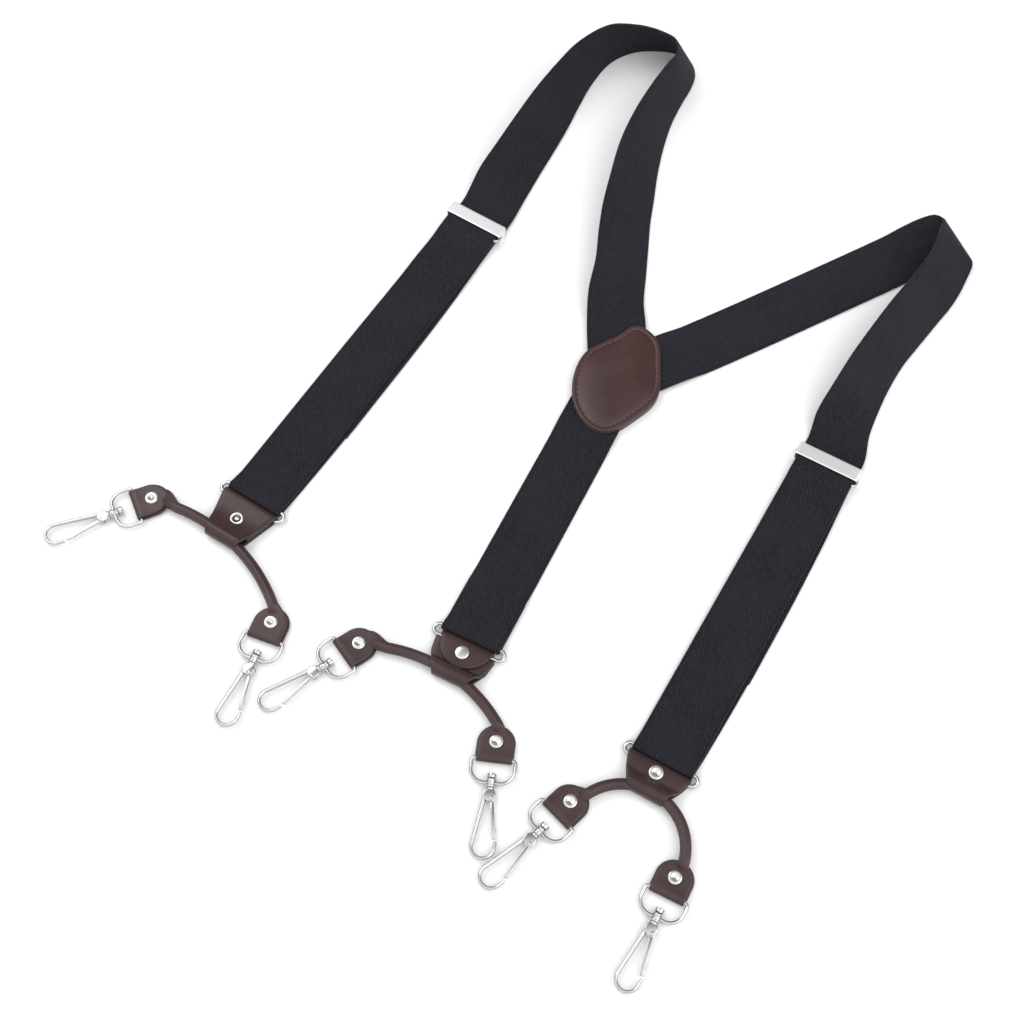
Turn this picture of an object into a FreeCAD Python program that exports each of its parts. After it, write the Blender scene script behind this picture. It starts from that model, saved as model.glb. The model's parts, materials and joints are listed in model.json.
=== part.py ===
import FreeCAD, Part
import math
import os

# Y-back trouser suspenders laid out on a table: three elastic webbing straps meet under a leather
# yoke patch, and each strap ends in a leather end piece, a rolled cross strap and two snap hooks.
# Millimetres.  Z is up, and the lowest layer lies on Z = 0.

V = FreeCAD.Vector
X_AXIS = V(1, 0, 0)
Y_AXIS = V(0, 1, 0)
Z_AXIS = V(0, 0, 1)

# Where the layout is moved to, so that the origin is under the middle of the whole object.
LAYOUT_SHIFT = V(-9.9, -38.6, 0)

# Webbing
WEB_WIDTH = 35.0
WEB_THICK = 1.3
LAYER_GAP = 0.1
LOWER_MID = WEB_THICK / 2
UPPER_MID = WEB_THICK * 1.5 + LAYER_GAP

# Rectangular ring between webbing and leather
RING_WIRE_R = 1.1
RING_SPAN = 6.0
RING_HALF_LENGTH = 21.0
RING_Z = 2.7

# Leather end pieces
LEATHER = 1.5
FIT = 0.1
END_TOP = 5.4
TUNNEL_CLEAR = 0.2

# Rolled cross straps
CORD_R = 3.0
CORD_Z = CORD_R + TUNNEL_CLEAR + LEATHER
TAB_HALF_WIDTH = 10.0
TAB_RIVET_X = -9.0
TAB_LOW = 1.0
TAB_HIGH = 4.4
RIVET_HOLE_CLEAR = 0.03

# Snap hooks, along X from the bar of the D loop
HOOK_Z = 2.7
LOOP_WIRE_R = 1.0
LOOP_HALF_WIDTH = 11.5
LOOP_APEX = 13.0
BOSS_R = 2.5
BOSS_START = 10.8
BOSS_END = 15.4
STUD_R = 1.5
STUD_CLEAR = 0.05
EYE_X = 19.6
EYE_R = 3.4
NOSE_X = 46.6
NOSE_R = 6.9
HOOK_BAR = 2.0
HOOK_THICK = 2.5
GATE_PIVOT = (21.4, 1.5)
GATE_TIP = (42.1, 5.26)
GATE_WIDTH = 1.9
GATE_THICK = 1.8

# Strap adjusters
ADJ_HALF_WIDTH = 19.3
ADJ_BAR_R = 0.9
ADJ_BAR_Z = 4.5
ADJ_RAISE = 0.8
ADJ_UP = 13.5
ADJ_DOWN = 40.0
RETURN_START = 60.0

# Ends of the straps: ring position, heading in degrees, length back to the adjuster or yoke,
# distance from the ring to the rivet and the outline of the leather as (distance, half width).
ENDS = {
    "left": {
        "ring": (-144.1, 7.3), "heading": -122.6, "length": 225.7, "rivet": 17.0,
        "outline": [(0, 18.0), (27, 10.2)],
        "arc_centre": (-229.6, -98.5), "arc_r": 107.5, "arc": (21.7, 70.8),
    },
    "right": {
        "ring": (78.8, -145.5), "heading": -120.0, "length": 200.0, "rivet": 9.2,
        "outline": [(0, 18.0), (6, 15.8), (12, 12.4), (19, 9.6)],
        "arc_centre": (56.2, -190.8), "arc_r": 31.6, "arc": (-16.0, 122.0),
    },
    "back": {
        "ring": (-21.7, -77.2), "heading": -116.5, "length": 162.0, "rivet": 11.2,
        "outline": [(0, 18.0), (10, 16.4), (22, 9.8)],
        "arc_centre": (-82.2, -167.6), "arc_r": 85.0, "arc": (28.5, 83.9),
    },
}

# Hooks: the end they belong to, the middle of the D loop's bar, heading and upward tilt.
HOOKS = {
    "left_outer": ("left", (-210.6, 3.0), 203.0, 0.0),
    "left_inner": ("left", (-133.4, -77.4), -110.5, 0.0),
    "back_outer": ("back", (-89.6, -86.3), 215.0, 0.0),
    "back_inner": ("back", (-9.3, -145.3), -97.0, 0.0),
    "right_outer": ("right", (23.3, -174.6), 223.5, 0.0),
    "right_inner": ("right", (77.5, -215.6), -117.0, 0.0),
}

# Edges of the shoulder straps, from the yoke round the shoulder loop towards the adjuster.
LEFT_EDGES = [
    ((79.5, 100, 3.0), (44.5, 101, 3.0)),
    ((79.5, 125, 3.0), (44.5, 126, 3.0)),
    ((79, 141, 1.2), (45.5, 144, 10)),
    ((81, 160, 0), (50, 164, 14)),
    ((83, 179, 0), (52, 182, 15)),
    ((85, 199, 0), (55, 202, 17)),
    ((88, 218, 0), (60, 222, 21)),
    ((91, 238, 0), (66, 243, 25)),
    ((95.5, 259, 0), (75, 264, 28)),
    ((101.5, 279, 0), (86.5, 284, 31)),
    ((109, 296, 0), (98, 301, 32.7)),
    ((115.5, 309, 0), (103, 308, 32.7)),
    ((118.5, 320, 0), (104.5, 315, 32.5)),
    ((116, 330.5, 0), (102.5, 321, 32.2)),
    ((108, 337.5, 0), (97, 325, 32.3)),
    ((96, 340, 0), (90, 328, 33)),
    ((80, 338.7, 0), (79, 330, 34.2)),
    ((65, 330, 0), (62.5, 329.5, 34.9)),
    ((53, 313, 0.4), (43.5, 318, 33.4)),
    ((44, 294, 0.6), (29, 302, 31)),
    ((36, 275, 0.8), (15, 285, 26.5)),
    ((27.5, 257, 0.9), (3.5, 268.5, 22.5)),
    ((18.5, 239, 1.0), (-7.5, 251.5, 19)),
    ((9, 219.5, 1.4), (-20, 235.5, 11)),
]
RIGHT_EDGES = [
    ((77.5, 73.9, 1.6), (62.7, 105.6, 1.6)),
    ((103, 85.7, 1.6), (88.2, 117.4, 1.6)),
    ((117, 92.3, 0), (101.8, 123.8, 0)),
    ((157, 112.5, 0), (140.8, 143.5, 0)),
    ((222, 146.5, 0), (205.8, 177.5, 0)),
    ((244, 158.3, 0), (227.8, 189.3, 0)),
    ((256, 164.5, 0.2), (240.5, 196.5, 1)),
    ((266, 168.8, 0.8), (251.5, 201.3, 3)),
    ((273, 171, 2.2), (260, 202, 6.5)),
    ((278.5, 172, 3.2), (264, 198, 9.5)),
    ((280.2, 169, 3.4), (263, 192.5, 15)),
    ((279.5, 165, 3), (260.7, 187, 20.5)),
    ((275.8, 157.5, 1.8), (256.8, 178, 24)),
    ((270.5, 147.5, 1.5), (253, 168, 24.5)),
    ((263, 136.3, 1.2), (244.5, 154, 24.5)),
    ((254.5, 126, 1), (235, 142, 24.5)),
    ((242, 110.5, 1), (222, 126, 24.5)),
    ((230.5, 96, 1), (209.5, 109.2, 24.3)),
    ((220, 79, 1), (196.8, 92, 22)),
    ((211.5, 62, 1.1), (185, 74.5, 18)),
    ((205.5, 48, 1.5), (175.5, 61, 9.5)),
]

# Outline of the yoke patch
YOKE_OUTLINE = [
    (67.5, 119.0), (75.2, 121.6), (82.3, 116.9), (87.3, 107.5), (87.4, 97.0), (85.9, 77.0),
    (82.0, 68.6), (73.0, 60.2), (62.5, 52.3), (52.0, 49.2), (43.0, 54.0), (36.2, 66.0),
    (34.8, 79.0), (38.2, 94.5), (44.0, 104.0), (55.0, 111.2),
]
YOKE_MIDDLE = (62.0, 87.0)
YOKE_BACK_THICK = 1.5
YOKE_BRIM = 5.6
YOKE_DOME = 7.4
STITCH_INSET = 0.90
STITCH_COUNT = 56

os.makedirs("parts", exist_ok=True)


def place(x, y, heading, z=0.0, tilt=0.0):
    turn = FreeCAD.Rotation(Z_AXIS, heading)
    lift = FreeCAD.Rotation(Y_AXIS, -tilt)
    return FreeCAD.Placement(V(x, y, z), turn.multiply(lift))


def moved(shape, placement):
    result = shape.copy()
    result.Placement = placement.multiply(result.Placement)
    return result


def save(name, shape):
    result = shape.copy()
    result.translate(LAYOUT_SHIFT)
    result.exportStep("parts/" + name + ".step")


def box(low, high):
    corner = V(*low)
    size = V(*high).sub(corner)
    return Part.makeBox(size.x, size.y, size.z, corner)


def rod(start, end, radius):
    a = V(*start)
    b = V(*end)
    return Part.makeCylinder(radius, a.distanceToPoint(b), a, b.sub(a))


def polygon(points):
    corners = [V(*p) for p in points]
    return Part.Face(Part.makePolygon(corners + [corners[0]]))


# ---------------------------------------------------------------- webbing

def ribbon(edges):
    """Solid strip through pairs of edge points; it thickens to the side of travel x width."""
    pairs = [(V(*a), V(*b)) for a, b in edges]
    mids = [(a + b) * 0.5 for a, b in pairs]
    sections = []
    for i, (a, b) in enumerate(pairs):
        travel = mids[min(i + 1, len(mids) - 1)] - mids[max(i - 1, 0)]
        across = (b - a).normalize()
        side = travel.cross(across).normalize() * WEB_THICK
        lift = V(0, 0, max(0.0, -a.z, -(a + side).z))
        low = a + lift
        high = b + lift
        sections.append(Part.makePolygon([low, high, high + side, low + side, low]))
    return Part.makeLoft(sections, True, True)


def shoulder_strap(side, loop_edges):
    """Yoke to adjuster and on, as the lower layer, to where the return strap takes over."""
    end = ENDS[side]
    back = end["length"]
    frame = place(end["ring"][0], end["ring"][1], end["heading"])
    half = WEB_WIDTH / 2
    edges = list(loop_edges)
    raised = ADJ_RAISE + WEB_THICK
    run = [
        (-back - ADJ_UP, raised),
        (-back + ADJ_DOWN, raised),
        (-back + ADJ_DOWN + 12, WEB_THICK),
        (-RETURN_START, WEB_THICK),
    ]
    for along, height in run:
        low = frame.multVec(V(along, half, height))
        high = frame.multVec(V(along, -half, height))
        edges.append((tuple(low), tuple(high)))
    return ribbon(edges)


def bend(cx, cz, radius, start, end, steps=10):
    points = []
    for i in range(steps + 1):
        angle = math.radians(start + (end - start) * i / steps)
        points.append((cx + radius * math.cos(angle), cz + radius * math.sin(angle)))
    return points


def band(path):
    """Webbing that follows a path seen from its side, extruded across its width."""
    left = []
    right = []
    count = len(path)
    for i, (x, z) in enumerate(path):
        x0, z0 = path[max(i - 1, 0)]
        x1, z1 = path[min(i + 1, count - 1)]
        before = V(x - x0, 0, z - z0)
        after = V(x1 - x, 0, z1 - z)
        directions = [d.normalize() for d in (before, after) if d.Length > 1e-6]
        mean = directions[0] + directions[-1]
        mean.normalize()
        normal = V(-mean.z, 0, mean.x)
        stretch = 1 / max(0.5, directions[0].dot(mean))
        offset = normal * (WEB_THICK / 2 * stretch)
        left.append((x + offset.x, -WEB_WIDTH / 2, z + offset.z))
        right.append((x - offset.x, -WEB_WIDTH / 2, z - offset.z))
    face = polygon(left + right[::-1])
    return face.extrude(V(0, WEB_WIDTH, 0))


def ring_wrap():
    middle = RING_WIRE_R + FIT + WEB_THICK / 2
    return bend(0, RING_Z, middle, -90, 90)


def return_strap(side):
    """From the lower layer round the ring and back on top to the adjuster's bar."""
    back = ENDS[side]["length"]
    raise_end = -back + ADJ_DOWN
    doubled = ADJ_RAISE + WEB_THICK + LAYER_GAP + WEB_THICK / 2
    over = doubled + WEB_THICK + LAYER_GAP
    wrap_r = ADJ_BAR_R + FIT + WEB_THICK / 2
    path = [(-RETURN_START + 0.4, LOWER_MID), (-8, LOWER_MID)]
    path += ring_wrap()
    path += [(-10, UPPER_MID), (raise_end + 14, UPPER_MID), (raise_end, doubled)]
    path += [(-back + 22, doubled), (-back + 14, over), (-back + 6, over + 0.6)]
    path += bend(-back, ADJ_BAR_Z, wrap_r, 90, 270)
    path += [(-back + 12.5, doubled)]
    return band(path)


def back_strap():
    """Yoke to ring, with the end turned back underneath."""
    length = ENDS["back"]["length"]
    under_patch = YOKE_BACK_THICK + LAYER_GAP + WEB_THICK / 2
    path = [(-length, under_patch), (-length + 17, under_patch), (-length + 30, LOWER_MID)]
    path += [(-38, LOWER_MID), (-31, UPPER_MID), (-8, UPPER_MID)]
    path += ring_wrap()[::-1]
    path += [(-5, LOWER_MID), (-30, LOWER_MID)]
    return band(path)


def end_place(side):
    end = ENDS[side]
    return place(end["ring"][0], end["ring"][1], end["heading"])


def adjuster_place(side):
    end = ENDS[side]
    frame = end_place(side)
    where = frame.multVec(V(-end["length"], 0, 0))
    return place(where.x, where.y, end["heading"])


def adjuster_plate():
    """Front plate, two lugs and the back plate that closes the slide round the webbing."""
    inner = WEB_WIDTH / 2 + 0.6
    front = box((-5, -ADJ_HALF_WIDTH, 6.9), (3.2, ADJ_HALF_WIDTH, 7.8))
    rear = box((-3.5, -ADJ_HALF_WIDTH, 0.05), (2.5, ADJ_HALF_WIDTH, 0.7))
    lugs = []
    for sign in (-1, 1):
        a = sorted((sign * inner, sign * ADJ_HALF_WIDTH))
        lugs.append(box((-3.5, a[0], 0.05), (2.5, a[1], 7.8)))
    plate = front.fuse([rear] + lugs).removeSplitter()
    reach = ADJ_HALF_WIDTH + 1
    hole = rod((0, -reach, ADJ_BAR_Z), (0, reach, ADJ_BAR_Z), ADJ_BAR_R + 0.02)
    return plate.cut(hole)


def adjuster_bar():
    reach = ADJ_HALF_WIDTH + 1.1
    bar = rod((0, -reach, ADJ_BAR_Z), (0, reach, ADJ_BAR_Z), ADJ_BAR_R)
    heads = []
    for sign in (-1, 1):
        inner = (0, sign * (ADJ_HALF_WIDTH + 0.05), ADJ_BAR_Z)
        outer = (0, sign * (ADJ_HALF_WIDTH + 1.1), ADJ_BAR_Z)
        heads.append(rod(inner, outer, ADJ_BAR_R + 0.5))
    return bar.fuse(heads).removeSplitter()


# ---------------------------------------------------------------- ring and leather ends

def loop_wire(lines, wire_r):
    """Round wire swept along a closed flat path of tangent lines and arcs."""
    path = Part.Wire(lines)
    start = lines[0].valueAt(lines[0].FirstParameter)
    along = lines[0].tangentAt(lines[0].FirstParameter)
    circle = Part.Wire(Part.makeCircle(wire_r, start, along))
    return path.makePipeShell([circle], True, False)


def rounded_loop(x0, x1, half, r0, r1, z):
    """Edges of a rectangle with corner radius r0 at x0 and r1 at x1."""
    edges = [Part.makeLine(V(x0, -half + r0, z), V(x0, half - r0, z))]
    edges += [arc_edge((x0 + r0, half - r0), r0, 180, 90, z)]
    if x1 - r1 - x0 - r0 > 0.01:
        edges += [Part.makeLine(V(x0 + r0, half, z), V(x1 - r1, half, z))]
    edges += [arc_edge((x1 - r1, half - r1), r1, 90, 0, z)]
    edges += [Part.makeLine(V(x1, half - r1, z), V(x1, -half + r1, z))]
    edges += [arc_edge((x1 - r1, -half + r1), r1, 0, -90, z)]
    if x1 - r1 - x0 - r0 > 0.01:
        edges += [Part.makeLine(V(x1 - r1, -half, z), V(x0 + r0, -half, z))]
    edges += [arc_edge((x0 + r0, -half + r0), r0, -90, -180, z)]
    return edges


def arc_edge(centre, radius, start, end, z):
    points = []
    for angle in (start, (start + end) / 2, end):
        a = math.radians(angle)
        points.append(V(centre[0] + radius * math.cos(a), centre[1] + radius * math.sin(a), z))
    return Part.Arc(points[0], points[1], points[2]).toShape()


def ring():
    corner = RING_SPAN / 2
    edges = rounded_loop(0, RING_SPAN, RING_HALF_LENGTH, corner, corner, RING_Z)
    return loop_wire(edges, RING_WIRE_R)


def cord(side, radius, reach=0.0):
    """Part of a torus: the rolled strap, or with a larger radius the space it slides in."""
    end = ENDS[side]
    start, stop = end["arc"]
    centre = V(end["arc_centre"][0], end["arc_centre"][1], CORD_Z)
    sweep = stop - start + 2 * reach
    first = math.radians(start - reach)
    at = centre + V(math.cos(first), math.sin(first), 0) * end["arc_r"]
    circle = Part.Face(Part.Wire(Part.makeCircle(radius, at, V(-math.sin(first), math.cos(first), 0))))
    return circle.revolve(centre, Z_AXIS, sweep)


def tunnel_distance(side):
    """How far beyond the ring's first bar the rolled strap's centre line crosses the leather."""
    end = ENDS[side]
    h = math.radians(end["heading"])
    dx = end["arc_centre"][0] - end["ring"][0]
    dy = end["arc_centre"][1] - end["ring"][1]
    along = dx * math.cos(h) + dy * math.sin(h)
    aside = -dx * math.sin(h) + dy * math.cos(h)
    return along - math.sqrt(end["arc_r"] ** 2 - aside ** 2)


def leather_end(side):
    """Folded round the ring's second bar, riveted, and sleeved round the rolled strap."""
    end = ENDS[side]
    reach = tunnel_distance(side)
    tunnel_r = CORD_R + TUNNEL_CLEAR + LEATHER
    profile = bend(RING_SPAN, RING_Z, RING_Z, -90, -270)
    profile += [(reach - 5.4, END_TOP)]
    profile += bend(reach, CORD_Z, tunnel_r, 165, -90, 16)
    wide = polygon([(x, -22, z) for x, z in profile]).extrude(V(0, 44, 0))
    plan = [(0, 18.0)] + [(RING_SPAN + x, half) for x, half in end["outline"]]
    plan += [(reach + tunnel_r + 1, end["outline"][-1][1] - 0.6)]
    outline = [(x, y, -1) for x, y in plan] + [(x, -y, -1) for x, y in reversed(plan)]
    body = wide.common(polygon(outline).extrude(V(0, 0, 14)))
    bar = rod((RING_SPAN, -22, RING_Z), (RING_SPAN, 22, RING_Z), RING_WIRE_R + FIT)
    hole = rod((end["rivet"], 0, -1), (end["rivet"], 0, 12), 1.5 + RIVET_HOLE_CLEAR)
    body = moved(body.cut([bar, hole]), end_place(side))
    return body.cut(cord(side, CORD_R + TUNNEL_CLEAR, 0.0))


def end_rivet(side):
    x = ENDS[side]["rivet"]
    shank = rod((x, 0, 0.1), (x, 0, END_TOP + 0.5), 1.5)
    cap = Part.makeSphere(9.0, V(x, 0, END_TOP + 1.35 - 9.0))
    cap = cap.common(rod((x, 0, END_TOP + 0.02), (x, 0, END_TOP + 3), 4.2))
    return moved(cap.fuse(shank).removeSplitter(), end_place(side))


# ---------------------------------------------------------------- cross straps

def tab():
    """Flat end of the rolled strap, folded round the D loop's bar; the fold is at X = 0."""
    half = TAB_HALF_WIDTH
    near, far = V(TAB_RIVET_X, -half, TAB_LOW), V(TAB_RIVET_X, half, TAB_LOW)
    round_end = Part.Arc(far, V(TAB_RIVET_X - half, 0, TAB_LOW), near).toShape()
    sides = Part.makePolygon([near, V(0, -half, TAB_LOW), V(0, half, TAB_LOW), far]).Edges
    plate = Part.Face(Part.Wire([round_end] + sides)).extrude(V(0, 0, TAB_HIGH - TAB_LOW))
    fold = rod((0, -half, HOOK_Z), (0, half, HOOK_Z), HOOK_Z - 0.05)
    solid = plate.fuse(fold)
    bar = rod((0, -12, HOOK_Z), (0, 12, HOOK_Z), LOOP_WIRE_R + FIT)
    hole = rod((TAB_RIVET_X, 0, -1), (TAB_RIVET_X, 0, 9), 1.4 + RIVET_HOLE_CLEAR)
    return solid.cut([bar, hole])


def tab_rivet():
    shank = rod((TAB_RIVET_X, 0, 0.6), (TAB_RIVET_X, 0, TAB_HIGH + 0.5), 1.4)
    cap = Part.makeSphere(8.0, V(TAB_RIVET_X, 0, TAB_HIGH + 1.2 - 8.0))
    cap = cap.common(rod((TAB_RIVET_X, 0, TAB_HIGH + 0.02), (TAB_RIVET_X, 0, TAB_HIGH + 3), 3.9))
    foot = rod((TAB_RIVET_X, 0, TAB_LOW - 0.5), (TAB_RIVET_X, 0, TAB_LOW - 0.02), 3.2)
    return cap.fuse([shank, foot]).removeSplitter()


def hook_place(name):
    spec = HOOKS[name]
    return place(spec[1][0], spec[1][1], spec[2], HOOK_Z, spec[3])


def tab_place(name):
    spec = HOOKS[name]
    return place(spec[1][0], spec[1][1], spec[2])


def neck(side, name, at_end):
    """Tapered neck from the end of the rolled strap down into its tab."""
    end = ENDS[side]
    angle = math.radians(end["arc"][1] if at_end else end["arc"][0])
    centre = V(end["arc_centre"][0], end["arc_centre"][1], CORD_Z)
    radial = V(math.cos(angle), math.sin(angle), 0)
    tangent = V(-radial.y, radial.x, 0)
    where = tab_place(name)
    stop = where.multVec(V(TAB_RIVET_X - 6.5, 0, HOOK_Z))
    into_tab = where.Rotation.multVec(X_AXIS) * (1 if at_end else -1)
    thick = Part.Wire(Part.makeCircle(CORD_R, centre + radial * end["arc_r"], tangent))
    thin = Part.Wire(Part.makeCircle(1.6, stop, into_tab))
    return Part.makeLoft([thick, thin], True, True)


def cross_strap(side):
    outer, inner = side + "_outer", side + "_inner"
    pieces = [neck(side, outer, True), neck(side, inner, False)]
    for name in (outer, inner):
        hole = rod((TAB_RIVET_X, 0, -1), (TAB_RIVET_X, 0, 12), 1.4 + RIVET_HOLE_CLEAR)
        head = rod((TAB_RIVET_X, 0, TAB_HIGH), (TAB_RIVET_X, 0, 12), 4.2)
        where = tab_place(name)
        pieces = [p.cut([moved(hole, where), moved(head, where)]) for p in pieces]
        pieces.append(moved(tab(), where))
    return cord(side, CORD_R).fuse(pieces)


def tab_rivets(side):
    rivets = [moved(tab_rivet(), tab_place(side + end)) for end in ("_outer", "_inner")]
    return Part.makeCompound(rivets)


# ---------------------------------------------------------------- snap hooks, flat at Z = 0

def d_loop():
    edges = rounded_loop(0, LOOP_APEX, LOOP_HALF_WIDTH, 1.6, 7.5, 0)
    wire = loop_wire(edges, LOOP_WIRE_R)
    boss = rod((BOSS_START, 0, 0), (BOSS_END, 0, 0), BOSS_R)
    hole = rod((0, 0, 0), (BOSS_END + 2, 0, 0), STUD_R + STUD_CLEAR)
    near_bar = rod((-3, 0, 0), (4, 0, 0), 3)
    return wire.fuse(boss).removeSplitter().cut(hole.cut(near_bar))


def teardrop(x0, r0, x1, r1, thick):
    """Flat teardrop plate: two circles and the tangent lines between them."""
    lean = math.asin((r1 - r0) / (x1 - x0))
    s, c = math.sin(lean), math.cos(lean)
    z = -thick / 2
    near_up, near_down = V(x0 - r0 * s, r0 * c, z), V(x0 - r0 * s, -r0 * c, z)
    far_up, far_down = V(x1 - r1 * s, r1 * c, z), V(x1 - r1 * s, -r1 * c, z)
    edges = [
        Part.Arc(near_up, V(x0 - r0, 0, z), near_down).toShape(),
        Part.makeLine(near_down, far_down),
        Part.Arc(far_down, V(x1 + r1, 0, z), far_up).toShape(),
        Part.makeLine(far_up, near_up),
    ]
    return Part.Face(Part.Wire(edges)).extrude(V(0, 0, thick))


def hook_body():
    """Swivel stud, forked eye and the bent hook; the gate closes the open side."""
    frame = teardrop(EYE_X, EYE_R, NOSE_X, NOSE_R, HOOK_THICK)
    hollow = teardrop(EYE_X + 6.2, 1.6, NOSE_X, NOSE_R - HOOK_BAR, HOOK_THICK + 2)
    eye = Part.makeCylinder(EYE_R, 4.4, V(EYE_X, 0, -2.2))
    stud = rod((BOSS_START - 1.9, 0, 0), (EYE_X - 1, 0, 0), STUD_R)
    head = rod((BOSS_START - 1.9, 0, 0), (BOSS_START - 0.2, 0, 0), 2.4)
    collar = rod((BOSS_END + 0.2, 0, 0), (EYE_X - 1, 0, 0), 2.2)
    solid = frame.cut(hollow).fuse([eye, stud, head, collar]).removeSplitter()
    mouth = polygon([
        (GATE_PIVOT[0] - 0.4, GATE_PIVOT[1] + 0.1, -3), (GATE_PIVOT[0] + 2.8, GATE_PIVOT[1] - 2.4, -3),
        (42.4, 2.2, -3), (43.1, 9, -3), (GATE_PIVOT[0] - 0.4, 9, -3),
    ]).extrude(V(0, 0, 6))
    slot_r = 2.4
    slot = Part.makeCylinder(slot_r, GATE_THICK + 0.3, V(GATE_PIVOT[0], GATE_PIVOT[1], -1.05))
    pin = Part.makeCylinder(0.65, 8, V(GATE_PIVOT[0], GATE_PIVOT[1], -4))
    mouth = mouth.cut(Part.makeCylinder(EYE_R + 0.01, 6, V(EYE_X, 0, -3)))
    return solid.cut([mouth, slot, pin])


def gate():
    """Straight bar from its pivot in the eye to the nose of the hook."""
    a, b = V(GATE_PIVOT[0], GATE_PIVOT[1], 0), V(GATE_TIP[0], GATE_TIP[1], 0)
    length = a.distanceToPoint(b)
    bar = box((0, -GATE_WIDTH / 2, -GATE_THICK / 2), (length, GATE_WIDTH / 2, GATE_THICK / 2))
    hub = Part.makeCylinder(1.6, GATE_THICK / 2, V(0, 0, -GATE_THICK / 2))
    solid = bar.cut(Part.makeCylinder(2.0, 2, V(0, 0, 0))).fuse(hub).removeSplitter()
    solid = solid.cut(Part.makeCylinder(0.65, 6, V(0, 0, -3)))
    heading = math.degrees(math.atan2(b.y - a.y, b.x - a.x))
    return moved(solid, place(a.x, a.y, heading))


def gate_pin():
    return Part.makeCylinder(0.6, 4.4, V(GATE_PIVOT[0], GATE_PIVOT[1], -2.2))


def gate_spring():
    """The closing spring's coil, beside the gate's hub on the pin."""
    low = 0.1
    outer = Part.makeCylinder(1.5, 0.9, V(GATE_PIVOT[0], GATE_PIVOT[1], low))
    return outer.cut(Part.makeCylinder(0.75, 3, V(GATE_PIVOT[0], GATE_PIVOT[1], -1)))


# ---------------------------------------------------------------- yoke patch

def yoke_points(scale, z):
    cx, cy = YOKE_MIDDLE
    return [V(cx + (x - cx) * scale, cy + (y - cy) * scale, z) for x, y in YOKE_OUTLINE]


def yoke_curve(scale, z):
    curve = Part.BSplineCurve()
    curve.interpolate(yoke_points(scale, z), PeriodicFlag=True)
    return curve


def yoke_plate(scale, low, high):
    face = Part.Face(Part.Wire(yoke_curve(scale, low).toShape()))
    return face.extrude(V(0, 0, high - low))


def yoke_front(straps):
    """Domed leather with a flat stitched brim, hollowed where the straps run under it."""
    front = yoke_plate(1.0, YOKE_BACK_THICK + 0.05, YOKE_BRIM)
    rims = [(0.80, YOKE_BRIM - 0.2), (0.68, YOKE_DOME - 0.5), (0.45, YOKE_DOME)]
    wires = [Part.Wire(yoke_curve(scale, z).toShape()) for scale, z in rims]
    front = front.fuse(Part.makeLoft(wires, True, True)).removeSplitter()
    return front.cut(straps)


def strap_slots():
    """Room for the three straps under the patch, a tenth of a millimetre all round."""
    gap = LAYER_GAP
    slots = []
    for edges, z in ((LEFT_EDGES, 3.0), (RIGHT_EDGES, 1.6)):
        (x0, y0, _), (x1, y1, _) = edges[0]
        (x2, y2, _), (x3, y3, _) = edges[1]
        heading = math.degrees(math.atan2(y2 - y0 + y3 - y1, x2 - x0 + x3 - x1))
        where = place((x0 + x1) / 2, (y0 + y1) / 2, heading, z - gap)
        size = box((-0.6, -WEB_WIDTH / 2 - 0.4, 0), (60, WEB_WIDTH / 2 + 0.4, WEB_THICK + 2 * gap))
        slots.append(moved(size, where))
    low = YOKE_BACK_THICK
    length = ENDS["back"]["length"]
    size = box((-length - 0.6, -WEB_WIDTH / 2 - 0.3, low), (-90, WEB_WIDTH / 2 + 0.3, low + 1.5))
    slots.append(moved(size, end_place("back")))
    return slots


def yoke_stitching():
    """Short stitches lying on the brim, evenly spaced round the patch."""
    curve = yoke_curve(STITCH_INSET, YOKE_BRIM)
    first, last = curve.FirstParameter, curve.LastParameter
    stitches = []
    for i in range(STITCH_COUNT):
        t = curve.parameterAtDistance(curve.length() * i / STITCH_COUNT, first)
        t = min(max(t, first), last)
        point = curve.value(t)
        tangent = curve.tangent(t)[0]
        heading = math.degrees(math.atan2(tangent.y, tangent.x))
        stitch = box((-0.95, -0.35, 0.01), (0.95, 0.35, 0.36))
        stitches.append(moved(stitch, place(point.x, point.y, heading, YOKE_BRIM)))
    return Part.makeCompound(stitches)


def main():
    save("yoke_patch_front", yoke_front(strap_slots()))
    save("yoke_patch_back", yoke_plate(1.0, 0, YOKE_BACK_THICK))
    save("yoke_stitching", yoke_stitching())
    save("back_strap", moved(back_strap(), end_place("back")))
    for side, edges in (("left", LEFT_EDGES), ("right", RIGHT_EDGES)):
        save(side + "_shoulder_strap", shoulder_strap(side, edges))
        save(side + "_return_strap", moved(return_strap(side), end_place(side)))
        save(side + "_adjuster_plate", moved(adjuster_plate(), adjuster_place(side)))
        save(side + "_adjuster_bar", moved(adjuster_bar(), adjuster_place(side)))
    for side in ENDS:
        save(side + "_ring", moved(ring(), end_place(side)))
        save(side + "_leather_end", leather_end(side))
        save(side + "_end_rivet", end_rivet(side))
        save(side + "_cross_strap", cross_strap(side))
        save(side + "_tab_rivets", tab_rivets(side))
    for name in HOOKS:
        where = hook_place(name)
        save(name + "_hook_loop", moved(d_loop(), where))
        save(name + "_hook_body", moved(hook_body(), where))
        save(name + "_hook_gate", moved(gate(), where))
        save(name + "_hook_pin", moved(gate_pin(), where))
        save(name + "_hook_spring", moved(gate_spring(), where))


main()
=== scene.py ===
import json
import math
import bpy
from mathutils import Matrix, Vector


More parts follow.
